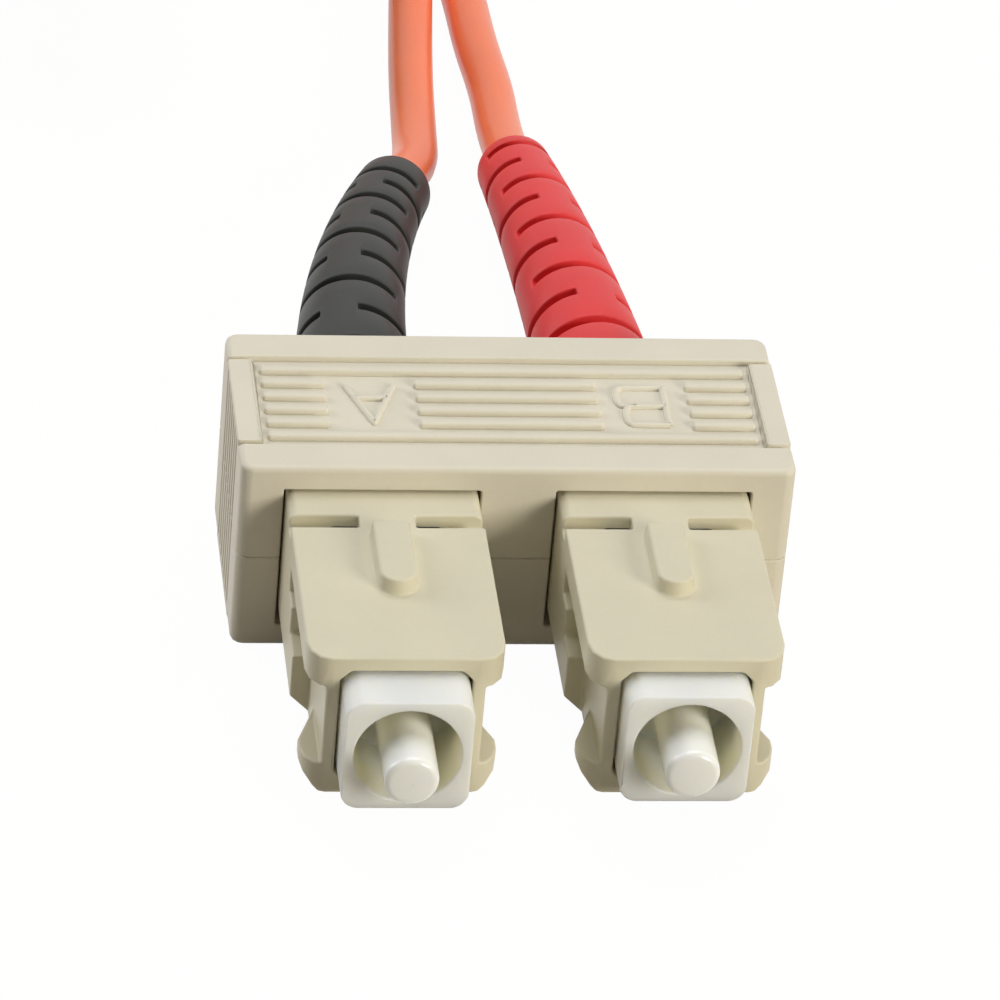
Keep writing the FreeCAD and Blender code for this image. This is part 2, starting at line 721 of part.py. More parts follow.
def strip_solid(rings):
    """A solid of flat strips between rings of corners, each strip in two triangles where it is twisted."""
    faces = [polygon_face(rings[0]), polygon_face(rings[-1])]
    for ring, following in zip(rings, rings[1:]):
        for i in range(len(ring)):
            a, b = ring[i - 1], ring[i]
            c, d = following[i], following[i - 1]
            if abs((b - a).cross(d - a).normalize().dot(c - a)) < 1e-7:
                faces.append(polygon_face([a, b, c, d]))
            else:
                faces += [polygon_face([a, b, c]), polygon_face([a, c, d])]
    shell = Part.makeShell(faces)
    shell.sewShape()
    solid = Part.makeSolid(shell)
    return solid if solid.Volume > 0 else solid.reversed()


def add_cord(name, edges, face, strips=0):
    """A cord's own solid: a section carried along each run and round each arc, tested by its volume.

    A cord with strips has so many flat strips round each arc, and otherwise the arcs' own faces.
    """
    area, length = face.Area, sum(edge.Length for edge in edges)
    pieces, rings = [], [[v.Point for v in face.OuterWire.OrderedVertexes]]
    for edge in edges:
        if isinstance(edge.Curve, Part.Line):
            step = edge.lastVertex(True).Point - edge.firstVertex(True).Point
            pieces.append(face.extrude(step))
            face = face.translated(step)
            rings.append([corner + step for corner in rings[-1]])
        else:
            arc = edge.Curve
            degrees = math.degrees(edge.Length / arc.Radius)
            pieces.append(face.revolve(arc.Center, arc.Axis, degrees))
            face = face.copy()
            face.rotate(arc.Center, arc.Axis, degrees)
            for _ in range(strips):
                turn = FreeCAD.Rotation(arc.Axis, degrees / strips)
                rings.append([arc.Center + turn.multVec(corner - arc.Center) for corner in rings[-1]])
    shape = strip_solid(rings) if strips else pieces[0].multiFuse(pieces[1:])
    share = shape.Volume / (area * length)
    print(name, "length", round(length, 1), "volume share", round(share, 4))
    if not 0.97 < share < 1.03 or len(shape.Solids) != 1:
        raise RuntimeError(f"{name}: its volume isn't its section times its length")
    cord = doc.addObject("Part::Feature", name)
    cord.Shape = shape.Solids[0]
    return cord


class Coil:
    """The put-away coil: a flat spiral of the zip cord on edge, from its outer turn inwards."""

    def __init__(self):
        self.x, self.y = size("coil_x"), size("coil_y")
        self.outer = size("coil_radius")
        self.pitch = size("jacket_diameter") + size("turn_gap")
        self.half = size("jacket_diameter") / 2
        self.zip_height = 2 * size("jacket_diameter") + size("zip_web")
        self.floor = size("coil_lift")
        self.top = self.floor + self.zip_height
        self.middle = self.floor + self.zip_height / 2
        self.strand = (size("jacket_diameter") + size("zip_web")) / 2
        self.start, self.end = -33.0, 1710.0

    def radius(self, degrees):
        """The middle of the cord at an angle, which runs on from turn to turn."""
        return self.outer - self.pitch * (degrees - self.start) / 360

    def at(self, radius, degrees, height):
        """A point given by its radius and angle about the coil's middle."""
        turn = math.radians(degrees)
        return V(self.x + radius * math.cos(turn), self.y + radius * math.sin(turn), height)

    def loop(self, first, offset):
        """One turn of the spiral as a closed wire of 60 runs and a radial step, at an offset from the middle."""
        angles = [first + 6 * i for i in range(61)]
        points = [self.at(self.radius(a) + offset, a, self.floor) for a in angles]
        return Part.makePolygon(points + points[:1])

    def solid(self):
        """The outer shape of all the turns."""
        rim = Part.Face(self.loop(self.start, self.half))
        hole = Part.Face(self.loop(self.end - 360, -self.half))
        return rim.cut(hole).Faces[0].extrude(V(0, 0, self.zip_height))


def zip_face(coil, point, direction):
    """The zip cord's section on edge: two jackets and the web between them."""
    radius = size("jacket_diameter") / 2 * math.sqrt(2 * math.pi / (3 * math.sqrt(3)))
    web = size("zip_web_thickness") / 2
    side = direction.cross(V(0, 0, 1))
    low = coil.strand - radius * math.sqrt(3) / 2
    outline = [(web, low)]
    for degrees in (0, 60, 120, 180):
        turn = math.radians(degrees)
        outline.append((radius * math.cos(turn), coil.strand + radius * math.sin(turn)))
    outline.append((-web, low))
    outline += [(-u, -v) for u, v in outline]
    return polygon_face([point + side * u + V(0, 0, v) for u, v in outline])


def build_tie(name, coil, degrees):
    """A flat tie round all the turns, drawn with x along the coil's radius."""
    body = doc.addObject("PartDesign::Body", name)
    pitch = f"({S('jacket_diameter')} + {S('turn_gap')})"
    half = f"{S('jacket_diameter')} / 2"
    outer_share = (degrees - coil.start) / 360
    inner_share = (degrees + 1440 - coil.start) / 360
    high = f"({S('coil_radius')} - {pitch} * {outer_share} + {half} + 0.1)"
    low = f"({S('coil_radius')} - {pitch} * {inner_share} - {half} - 0.1)"
    floor = f"({S('coil_lift')} - {SEAT})"
    roof = f"({S('coil_lift')} + 2 * {S('jacket_diameter')} + {S('zip_web')} + {SEAT})"
    wall = S("tie_thickness")
    section = new_sketch(body, name + "_section", "XZ_Plane")
    add_box(section, f"{low} - {wall}", f"{high} + {wall}", f"{floor} - {wall}", f"{roof} + {wall}")
    add_box(section, low, high, floor, roof)
    feature(body, "Pad", name + "_band", section, S("tie_width"), both_ways=True)
    bind(body, **{"Placement.Base.x": S("coil_x"), "Placement.Base.y": S("coil_y"),
                  "Placement.Rotation.Axis.z": "1", "Placement.Rotation.Angle": str(degrees)})
    return body


# Masters

sleeve = build_sleeve()
clip_half = build_clip_half()
frame = build_frame("frame_master", True)
far_frame = build_frame("far_frame_master", False)
ferrule = build_ferrule("ferrule_master", True)
far_ferrule = build_ferrule("far_ferrule_master", False)
flange = build_flange()
stop_body = build_stop_body()
crimp = build_crimp()
spring = build_spring()
lines, boots = {}, {}
for channel in ("a", "b"):
    line = BootLine(size(f"boot_{channel}_aside"), size(f"plug_lead_{channel}"))
    roll = size(f"boot_{channel}_turn")
    lines[channel] = line
    boots["near", channel] = build_boot(f"boot_{channel}_master", line, roll, size("boot_start"), True)
    boots["far", channel] = build_boot(f"far_boot_{channel}_master", line, roll, value_of(COLLAR_FRONT), False)

# Nodes: two connectors from the same masters

nodes = []


def add_node(name, master, x, y, z, turned=False):
    """A node: a link to a master at a place given by expressions, turned over about Y where asked."""
    link = doc.addObject("App::Link", name)
    link.LinkedObject = master
    link.Label = name
    bind(link, **{"Placement.Base.x": x, "Placement.Base.y": y, "Placement.Base.z": z})
    if turned:
        bind(link, **{"Placement.Rotation.Axis.x": "0", "Placement.Rotation.Axis.y": "1",
                      "Placement.Rotation.Axis.z": "0", "Placement.Rotation.Angle": "180"})
    nodes.append(link)


FAR_PLACE = f"({S('far_reach')} - {S('clip_length')} / 2 - {S('boot_tail')})"
ENDS = {"near": ("0", "0", "0"), "far": (S("far_x"), FAR_PLACE, S("far_z"))}
AXIS = S("clip_height") + " / 2"
SLEEVE_FRONT = f"-({S('clip_start')} + {S('clip_length')} / 2)"
for end, (dx, dy, dz) in ENDS.items():
    height = f"{AXIS} + {dz}"
    add_node(f"{end}_clip_upper", clip_half, dx, dy, height)
    add_node(f"{end}_clip_lower", clip_half, dx, dy, height, turned=True)
    for channel, sign in (("a", "-"), ("b", "")):
        x = f"{sign}{S('channel_pitch')} / 2 + {dx}"
        front = f"{SLEEVE_FRONT} + {dy}"
        plug = f"{front} - {S('plug_lead_' + channel)}"
        add_node(f"{end}_grip_sleeve_{channel}", sleeve, x, front, height)
        inner = {"plug_frame": frame, "ferrule": ferrule, "ferrule_flange": flange, "spring": spring,
                 "stop_body": stop_body, "crimp_sleeve": crimp, "boot": boots[end, channel]}
        if end == "far":
            inner = {"plug_frame": far_frame, "ferrule": far_ferrule, "boot": boots[end, channel]}
        for piece, master in inner.items():
            add_node(f"{end}_{piece}_{channel}", master, x, plug, height)
doc.recompute()

# Cord routes

coil = Coil()
SPLIT = (2.4, 67.0)
# Each near route has points in x, share of the way in y from the boot's mouth to the split, and height
NEAR_ROUTES = {
    "a": [(-0.32, 0.1858, 1.34), (0.02, 0.351, 1.27), (0.5, 0.5162, 1.39), (0.95, 0.6696, 2.25),
          (1.75, 0.8053, 3.8), (2.3, 0.9174, 4.3)],
    "b": [(4.2, 0.1893, 1.34), (4.25, 0.312, 1.27), (3.85, 0.4556, 1.27), (3.75, 0.6051, 1.27),
          (3.4, 0.7547, 1.27), (2.6, 0.8923, 1.5)],
}
# Each far route has stretches in radius, angle and height about the coil, then points from its middle
FAR_TURNS = {
    "a": [(19.2, -78, 4.4), (19.5, -62, 5.3), (20.3, -46, 6.35), (21.9, -31.5, 6.75), (24.0, -17.5, 6.73),
          (26.2, -4.5, 6.73), (27.8, 8.5, 6.73), (28.4, 22.1, 6.73)],
    "b": [(19.15, -78, 1.75), (19.0, -61.5, 2.3), (18.9, -45, 3.7), (18.9, -28.5, 5.5), (19.3, -12, 6.65),
          (21.8, 3, 6.73), (24.4, 14.5, 6.73), (25.3, 26.9, 6.73)],
}
FAR_BENDS = {
    "a": [(22.86, 16.83, 6.73), (17.03, 20.82, 6.73), (10.04, 21.85, 6.73), (3.31, 19.71, 6.73),
          (-1.81, 14.84, 6.75), (-4.2, 8.9, 6.9)],
    "b": [(18.44, 16.36, 6.73), (12.4, 18.57, 6.73), (6.07, 17.6, 6.73), (2.1, 15.0, 6.75),
          (-0.35, 10.9, 6.86)],
}


def boot_mouth(end, channel, run):
    """Where a jacket leaves its boot, and a point straight on from there, in the row frame."""
    base = doc.getObject(f"{end}_boot_{channel}").Placement.Base
    point, direction = lines[channel].at(size("boot_tail"))
    return point + base, point + base + direction * run


for channel, sign in (("a", 1), ("b", -1)):
    strand = coil.middle + sign * coil.strand
    mouth, ahead = boot_mouth("near", channel, 2.6)
    way = SPLIT[1] - mouth.y
    route = [mouth, ahead] + [V(x, mouth.y + share * way, z) for x, share, z in NEAR_ROUTES[channel]]
    route.append(V(*SPLIT, strand))
    name = f"near_leg_{channel}"
    nodes.append(add_cord(name, cord_edges(name, route), jacket_face(mouth, (ahead - mouth).normalize(), 6)))

    mouth, ahead = boot_mouth("far", channel, 2.8)
    middle = V(coil.x, coil.y, 0)
    route = [mouth] if channel == "a" else [mouth, ahead]
    route += [middle + V(*p) for p in reversed(FAR_BENDS[channel])]
    route += [coil.at(*p) for p in reversed(FAR_TURNS[channel])]
    route.append(coil.at(coil.radius(coil.end), coil.end, strand))
    name = f"far_leg_{channel}"
    first = (route[1] - mouth).normalize()
    nodes.append(add_cord(name, cord_edges(name, route), jacket_face(mouth, first, 4), strips=1))

split = V(*SPLIT, coil.middle)
merge = coil.at(coil.outer, coil.start, coil.middle)
turn = math.radians(-coil.start)
corner = split + V(0, (merge - split).Length / 2 / math.cos(turn / 2), 0)
lead = add_cord("zip_lead", cord_edges("zip_lead", [split, corner, merge]),
                zip_face(coil, split, V(0, 1, 0)), strips=4)
nodes.append(lead)
turns = doc.addObject("Part::Feature", "zip_coil")
turns.Shape = coil.solid()
nodes.append(turns)
for name, degrees in (("tie_1", 110), ("tie_2", 190)):
    nodes.append(build_tie(name, coil, degrees))
doc.recompute()

# Tests and files

for thing in doc.Objects:
    if any(word in thing.State for word in ("Invalid", "Error")):
        raise RuntimeError(f"{thing.Name}: {thing.State}")
os.makedirs("parts", exist_ok=True)
total = 0
for node in nodes:
    shape = Part.getShape(node)
    if shape.isNull() or not shape.isValid() or len(shape.Solids) != 1:
        raise RuntimeError(f"{node.Label}: not one valid solid")
    shape.exportStep(f"parts/{node.Label}.step")
    low, high = shape.BoundBox.ZMin, shape.BoundBox.YMax
    print(node.Label, [round(v, 2) for v in (shape.BoundBox.XMin, shape.BoundBox.YMin, low)],
          [round(v, 2) for v in (shape.BoundBox.XMax, high, shape.BoundBox.ZMax)], round(shape.Volume, 2))
print(len(nodes), "parts written")
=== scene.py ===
"""Dresses the duplex fibre optic patch cable: moulded clip and plugs, slotted boots, jackets and studio.

Lengths are written in millimetres and turned into metres where a mesh is made. +Y runs from the plugs' tips
towards the cable, +X from channel A to channel B, and z = 0 is the surface that the clip lies on.
"""
import json
import logging
import math
from dataclasses import dataclass
from enum import Enum
from typing import Callable

import bpy
from mathutils import Matrix, Vector

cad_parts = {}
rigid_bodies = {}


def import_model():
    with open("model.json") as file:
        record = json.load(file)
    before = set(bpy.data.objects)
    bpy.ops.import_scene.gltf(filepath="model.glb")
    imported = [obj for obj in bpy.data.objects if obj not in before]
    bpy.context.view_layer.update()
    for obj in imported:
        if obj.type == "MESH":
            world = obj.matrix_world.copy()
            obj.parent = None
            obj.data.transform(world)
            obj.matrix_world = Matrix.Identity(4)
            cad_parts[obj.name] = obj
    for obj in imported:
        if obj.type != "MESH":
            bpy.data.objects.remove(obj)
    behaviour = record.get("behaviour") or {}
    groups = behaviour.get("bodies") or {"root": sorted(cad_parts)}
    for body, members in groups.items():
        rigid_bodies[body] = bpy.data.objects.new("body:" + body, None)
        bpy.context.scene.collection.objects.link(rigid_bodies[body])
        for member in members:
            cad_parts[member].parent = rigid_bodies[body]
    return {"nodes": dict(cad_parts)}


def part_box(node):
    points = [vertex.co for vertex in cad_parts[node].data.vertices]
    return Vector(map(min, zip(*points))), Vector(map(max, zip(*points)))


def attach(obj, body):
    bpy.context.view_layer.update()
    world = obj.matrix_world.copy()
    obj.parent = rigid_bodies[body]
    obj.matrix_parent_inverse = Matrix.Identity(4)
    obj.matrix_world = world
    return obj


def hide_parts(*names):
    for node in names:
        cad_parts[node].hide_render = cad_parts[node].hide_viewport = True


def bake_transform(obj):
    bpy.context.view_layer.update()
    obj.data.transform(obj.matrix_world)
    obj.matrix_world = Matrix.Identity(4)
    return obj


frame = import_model()

Piece = bpy.types.Object
Node = bpy.types.Node
Face = bpy.types.MeshPolygon
Triple = tuple[float, float, float]

log = logging.getLogger("patch_cable")
MM = 0.001
PITCH = 12.7
AXIS_HEIGHT = 5.0
CLIP_REAR = 5.85
SLEEVE_FRONT = -19.25
FAR_SHIFT = Vector((-24.5, 66.6, 5.55))
ACROSS, ALONG, UP = Vector((1, 0, 0)), Vector((0, 1, 0)), Vector((0, 0, 1))

# Lengths closer than CLOSE count as the same, and points closer than WELD are merged
CLOSE = 0.01
WELD = 0.002
# How much of a direction lies along an axis when it counts as that axis's own
ALIGNED = 0.99
FLAT_ANGLE = math.radians(0.5)
SMOOTH_ANGLE = math.radians(40)
ROD_SIDES = 96


class End(Enum):
    """The two connectors of the cable."""

    NEAR = "near"
    FAR = "far"

    @property
    def shift(self) -> Vector:
        """Where this connector lies from the near one, in millimetres."""
        return FAR_SHIFT.copy() if self is End.FAR else Vector((0, 0, 0))


class Channel(Enum):
    """The two fibres of the duplex pair."""

    A = "a"
    B = "b"

    @property
    def side(self) -> float:
        """Minus one on the left of the clip, one on the right."""
        return -1.0 if self is Channel.A else 1.0


class Grain(Enum):
    """The fine grain of each kind of surface, in grains to a metre."""

    MOULDED = 5200.0
    RUBBER = 4200.0
    JACKET = 3000.0
    CERAMIC = 9000.0
    METAL = 7000.0


# Finishes


def configure(thing: object, **settings: object) -> None:
    """Sets several of a thing's own settings."""
    for setting, value in settings.items():
        setattr(thing, setting, value)


class NodeGraph:
    """The nodes of a material or of the world."""

    def __init__(self, owner: bpy.types.Material | bpy.types.World) -> None:
        """Turns the owner's nodes on."""
        owner.use_nodes = True
        self.nodes, self.links = owner.node_tree.nodes, owner.node_tree.links

    def add(self, kind: str, values: dict[str | int, object] | None = None, **settings: str) -> Node:
        """Adds a shader node.

        Args:
            kind: The node's type.
            values: What its inputs are set to, by name or number.
            settings: What the node's own settings are set to.

        Returns:
            The node.
        """
        node = self.nodes.new(f"ShaderNode{kind}")
        configure(node, **settings)
        self.fill(node, values or {})
        return node

    @staticmethod
    def fill(node: Node, values: dict[str | int, object]) -> None:
        """Sets a node's inputs by name or number."""
        for key, value in values.items():
            node.inputs[key].default_value = value

    def join(self, *links: tuple[Node, str | int, Node, str | int]) -> None:
        """Links nodes, each link being a node, its output, the next node and that one's input."""
        for start, output, end, into in links:
            self.links.new(start.outputs[output], end.inputs[into])


@dataclass(frozen=True)
class Finish:
    """A surface finish: colours, gloss and the grain of its surface."""

    slot: str
    colour: Triple
    grain: Grain
    roughness: float = 0.45
    metallic: float = 0.0
    drift: float = 0.04
    bump: float = 0.1
    translucent: float = 0.0
    depth: float = 0.6
    scatter: Triple = (1.0, 0.88, 0.6)
    coat: float = 0.0
    coat_roughness: float = 0.12
    specular: float = 0.5
    refraction: float = 1.5
    part: str = "finish"
    cloud_scale: float = 260.0
    cloud_stops: tuple[float, float] = (0.32, 0.68)
    speckle: float = 0.3
    gloss_drift: float = 0.05
    grain_height: float = 0.02

    @property
    def linear(self) -> Triple:
        """The colour in linear light, from display values out of 255."""
        shares = [value / 255 for value in self.colour]
        return tuple(v / 12.92 if v <= 0.04045 else ((v + 0.055) / 1.055) ** 2.4 for v in shares)

    def material(self) -> bpy.types.Material:
        """The finish as a node material, made once.

        Returns:
            The Blender material, shared by every piece in this finish.
        """
        name = f"{self.slot}_{self.part}"
        found = bpy.data.materials.get(name)
        if found:
            return found
        made = bpy.data.materials.new(name)
        graph = NodeGraph(made)
        shader = graph.nodes["Principled BSDF"]
        values = {"Metallic": self.metallic, "IOR": self.refraction, "Specular IOR Level": self.specular}
        if self.translucent:
            values |= {"Subsurface Weight": self.translucent, "Subsurface Radius": self.scatter,
                       "Subsurface Scale": self.depth * MM}
        if self.coat:
            values |= {"Coat Weight": self.coat, "Coat Roughness": self.coat_roughness}
        graph.fill(shader, values)
        place = graph.add("TexCoord")
        cloud = graph.add("TexNoise", {"Scale": self.cloud_scale, "Detail": 3.0})
        grit = graph.add("TexNoise", {"Scale": self.grain.value, "Detail": 2.0})
        graph.join((place, "Object", cloud, "Vector"), (place, "Object", grit, "Vector"))
        self._colour(graph, shader, cloud, grit)
        self._surface(graph, shader, cloud, grit)
        return made

    def _colour(self, graph: NodeGraph, shader: Node, cloud: Node, grit: Node) -> None:
        """Lets the colour drift in clouds and speckle in the grain."""
        ramp = graph.add("ValToRGB")
        shares = (1 - self.drift, 1 + self.drift)
        for stop, position, share in zip(ramp.color_ramp.elements, self.cloud_stops, shares):
            stop.position = position
            stop.color = (*[min(1.0, v * share) for v in self.linear], 1)
        blend = graph.add("Mix", {"Factor": self.speckle}, data_type="FLOAT")
        graph.join((cloud, "Fac", blend, "A"), (grit, "Fac", blend, "B"), (blend, "Result", ramp, "Fac"),
                   (ramp, "Color", shader, "Base Color"))

    def _surface(self, graph: NodeGraph, shader: Node, cloud: Node, grit: Node) -> None:
        """Varies the roughness a little from place to place, and raises the fine grain."""
        low, high = self.roughness - self.gloss_drift, self.roughness + self.gloss_drift
        span = graph.add("MapRange", {"To Min": low, "To Max": high})
        bump = graph.add("Bump", {"Strength": self.bump, "Distance": self.grain_height * MM})
        graph.join((cloud, "Fac", span, "Value"), (span, "Result", shader, "Roughness"),
                   (grit, "Fac", bump, "Height"), (bump, "Normal", shader, "Normal"))


CLIP_IVORY = Finish("clip_plastic", (223, 217, 200), Grain.MOULDED, 0.48, drift=0.03, bump=0.12,
                    translucent=0.06, specular=0.3)
SLEEVE_IVORY = Finish("sleeve_plastic", (217, 211, 187), Grain.MOULDED, 0.44, drift=0.03, bump=0.1,
                      translucent=0.06, specular=0.3)
FRAME_WHITE = Finish("frame_plastic", (240, 242, 238), Grain.MOULDED, 0.36, drift=0.015, bump=0.05,
                     translucent=0.7, depth=2.2, specular=0.35)
# The bore's warmer, brighter white is painted light: it stands in for light through the thin plastic and its
# bounces in the bore
FRAME_BORE_PAINTED_LIGHT = Finish("frame_plastic", (254, 249, 222), Grain.MOULDED, 0.4, drift=0.015, bump=0.05,
                    translucent=0.9, depth=3.0, specular=0.3, part="bore")
CERAMIC_WHITE = Finish("ferrule_ceramic", (244, 246, 243), Grain.CERAMIC, 0.18, drift=0.01, bump=0.02,
                       translucent=0.35, coat=0.3)
BOOT_BLACK = Finish("boot_black", (44, 46, 43), Grain.RUBBER, 0.52, drift=0.08, bump=0.16, specular=0.35)
BOOT_RED = Finish("boot_red", (226, 62, 64), Grain.RUBBER, 0.5, drift=0.05, bump=0.14, translucent=0.1,
                  specular=0.35)
JACKET_ORANGE = Finish("jacket_orange", (255, 128, 82), Grain.JACKET, 0.36, drift=0.05, bump=0.08,
                       translucent=0.12, coat=0.2)
TIE_BLACK = Finish("tie_plastic", (42, 42, 42), Grain.MOULDED, 0.5, drift=0.1, bump=0.2)
TURNED_METAL = Finish("turned_metal", (196, 196, 200), Grain.METAL, 0.3, metallic=1.0, bump=0.08)
SPRING_STEEL = Finish("spring_steel", (178, 178, 182), Grain.METAL, 0.28, metallic=1.0, bump=0.05)
CRIMP_BRASS = Finish("crimp_brass", (212, 186, 120), Grain.METAL, 0.3, metallic=1.0, bump=0.1)


# Modelling helpers


def clear_selection() -> None:
    """Leaves object mode with nothing selected."""
    if bpy.context.object and bpy.context.object.mode != "OBJECT":
        bpy.ops.object.mode_set(mode="OBJECT")
    bpy.ops.object.select_all(action="DESELECT")


def make_active(piece: Piece) -> None:
    """Selects one object alone and makes it the active one."""
    clear_selection()
    piece.select_set(True)
    bpy.context.view_layer.objects.active = piece


def add_object(name: str, data: bpy.types.ID) -> Piece:
    """Puts a new object with some data into the scene."""
    made = bpy.data.objects.new(name, data)
    bpy.context.scene.collection.objects.link(made)
    return made


def add_rod(radius: float, length: float, middle: Vector) -> Piece:
    """Adds a round rod that lies along Y, and leaves it active."""
    clear_selection()
    bpy.ops.mesh.primitive_cylinder_add(vertices=ROD_SIDES, radius=radius, depth=length, location=middle,
                                        rotation=(math.radians(90), 0, 0))
    bpy.ops.object.transform_apply(location=True, rotation=True, scale=True)
    return bpy.context.active_object


def modify(piece: Piece, kind: str, **settings: object) -> None:
    """Gives a piece a modifier with some settings, and applies it."""
    made = piece.modifiers.new(kind.lower(), kind)
    configure(made, **settings)
    make_active(piece)
    bpy.ops.object.modifier_apply(modifier=made.name)


def open_mesh(piece: Piece) -> None:
    """Opens a piece in edit mode with all of it selected."""
    make_active(piece)
    bpy.ops.object.mode_set(mode="EDIT")
    bpy.ops.mesh.select_all(action="SELECT")


def close_mesh() -> None:
    """Goes back to object mode."""
    bpy.ops.object.mode_set(mode="OBJECT")


def open_selected(piece: Piece, by_face: bool, wanted: list[bool]) -> None:
    """Opens a piece in edit mode with only some of its edges or faces selected.

    Args:
        piece: The mesh object, which is active.
        by_face: Whether faces are selected, and not edges.
        wanted: Whether each face or edge is wanted, in order.
    """
    mesh = piece.data
    bpy.context.tool_settings.mesh_select_mode = (False, not by_face, by_face)
    for part in (mesh.vertices, mesh.edges, mesh.polygons):
        part.foreach_set("select", [False] * len(part))
    (mesh.polygons if by_face else mesh.edges).foreach_set("select", wanted)
    bpy.ops.object.mode_set(mode="EDIT")


def select_edges(piece: Piece, test: Callable[[Vector, Vector], bool]) -> None:
    """Selects edges by where their ends lie, and opens the piece in edit mode.

    Args:
        piece: The mesh object.
        test: Says from an edge's two ends, in metres, whether it is wanted.
    """
    make_active(piece)
    points = piece.data.vertices
    wanted = [test(*(points[i].co for i in edge.vertices)) for edge in piece.data.edges]
    open_selected(piece, False, wanted)


def select_faces(piece: Piece, test: Callable[[Face], bool]) -> None:
    """Selects the faces that a test wants, and opens the piece in edit mode."""
    make_active(piece)
    open_selected(piece, True, [test(face) for face in piece.data.polygons])


def round_selected(radius: float, segments: int) -> None:
    """Rounds the selected edges, in millimetres, and goes back to object mode."""
    bpy.ops.mesh.bevel(offset=radius * MM, segments=segments, profile=0.5, affect="EDGES", clamp_overlap=True)
    close_mesh()


def draw_out(distance: float) -> None:
    """Draws the selected faces out along Y, and goes back to object mode."""
    bpy.ops.mesh.extrude_region_move(TRANSFORM_OT_translate={"value": (0, distance, 0)})
    close_mesh()


def join_flats(piece: Piece) -> None:
    """Merges a piece's doubled points, and its triangles wherever they lie in one plane."""
    open_mesh(piece)
    bpy.ops.mesh.remove_doubles(threshold=WELD * MM)
    bpy.ops.mesh.dissolve_degenerate(threshold=WELD / 2 * MM)
    bpy.ops.mesh.dissolve_limited(angle_limit=FLAT_ANGLE)
    close_mesh()


def split_flats(piece: Piece, *planes: tuple[Vector, Vector]) -> None:
    """Cuts a piece's faces where planes cross them, so that no flat one runs round a hole.

    Args:
        piece: The mesh object.
        planes: A point in the mesh's own unit and a normal for each cut.
    """
    open_mesh(piece)
    for point, normal in planes:
        bpy.ops.mesh.select_all(action="SELECT")
        bpy.ops.mesh.bisect(plane_co=point, plane_no=normal)
    close_mesh()


def even_shading(piece: Piece) -> None:
    """Smooths the shading over roundings and keeps the flats flat."""
    make_active(piece)
    bpy.ops.object.shade_smooth_by_angle(angle=SMOOTH_ANGLE)
    modify(piece, "WEIGHTED_NORMAL", keep_sharp=True)


def soften(piece: Piece, radius: float, limit: float = 35.0) -> None:
    """Rounds a piece's sharp edges.

    Args:
        piece: The mesh object.
        radius: The rounding, in millimetres.
        limit: The least angle, in degrees, of an edge that gets rounded.
    """
    modify(piece, "BEVEL", width=radius * MM, segments=3, limit_method="ANGLE",
           angle_limit=math.radians(limit), use_clamp_overlap=False, miter_outer="MITER_ARC")


def node_box(node: str) -> tuple[Vector, Vector]:
    """The low and high corners of a CAD node, in millimetres."""
    low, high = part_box(node)
    return Vector(low) / MM, Vector(high) / MM


def copy_node(node: str) -> Piece:
    """Copies a CAD node into a mesh of its own, free of its body.

    Args:
        node: The node's name.

    Returns:
        The copy, without the node's normals.
    """
    make_active(frame["nodes"][node])
    bpy.ops.object.duplicate(linked=False)
    piece = bpy.context.active_object
    bpy.ops.object.parent_clear(type="CLEAR_KEEP_TRANSFORM")
    for key in [k for k in piece.keys() if k.startswith("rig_")]:
        del piece[key]
    bpy.ops.mesh.customdata_custom_splitnormals_clear()
    return piece


def cover(piece: Piece, finish: Finish) -> None:
    """Gives a piece one finish all over."""
    piece.data.materials.clear()
    piece.data.materials.append(finish.material())


def dress(piece: Piece, name: str, finish: Finish, body: str, *nodes: str) -> Piece:
    """Names a finished piece, gives it its finish and sets it on its body.

    Args:
        piece: The mesh or curve object.
        name: The piece's name.
        finish: The finish that covers it.
        body: The CAD body that it rides on.
        nodes: The CAD nodes that it stands for.

    Returns:
        The same object.
    """
    piece.name = name
    piece.data.name = name
    cover(piece, finish)
    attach(piece, body)
    if nodes:
        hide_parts(*nodes)
    log.info("%s rides on %s", name, body)
    return piece


# Moulded pieces


@dataclass
class MouldedPiece:
    """A moulded piece whose form is the CAD node's, with its edges rounded as a mould leaves them."""

    node: str
    body: str
    finish: Finish
    rounding: float

    def build(self) -> Piece:
        """Copies the node, joins its triangles, rounds its edges and adds its fine forms.

        Returns:
            The piece, riding on its body in place of the node.
        """
        piece = copy_node(self.node)
        self._shape(piece)
        soften(piece, self.rounding)
        self._add_forms(piece)
        even_shading(piece)
        return dress(piece, f"{self.node}_moulded", self.finish, self.body, self.node)

    def _shape(self, piece: Piece) -> None:
        """Joins the node's triangles into whole faces."""
        join_flats(piece)

    def _add_forms(self, piece: Piece) -> None:
        """Adds nothing to a plain piece."""


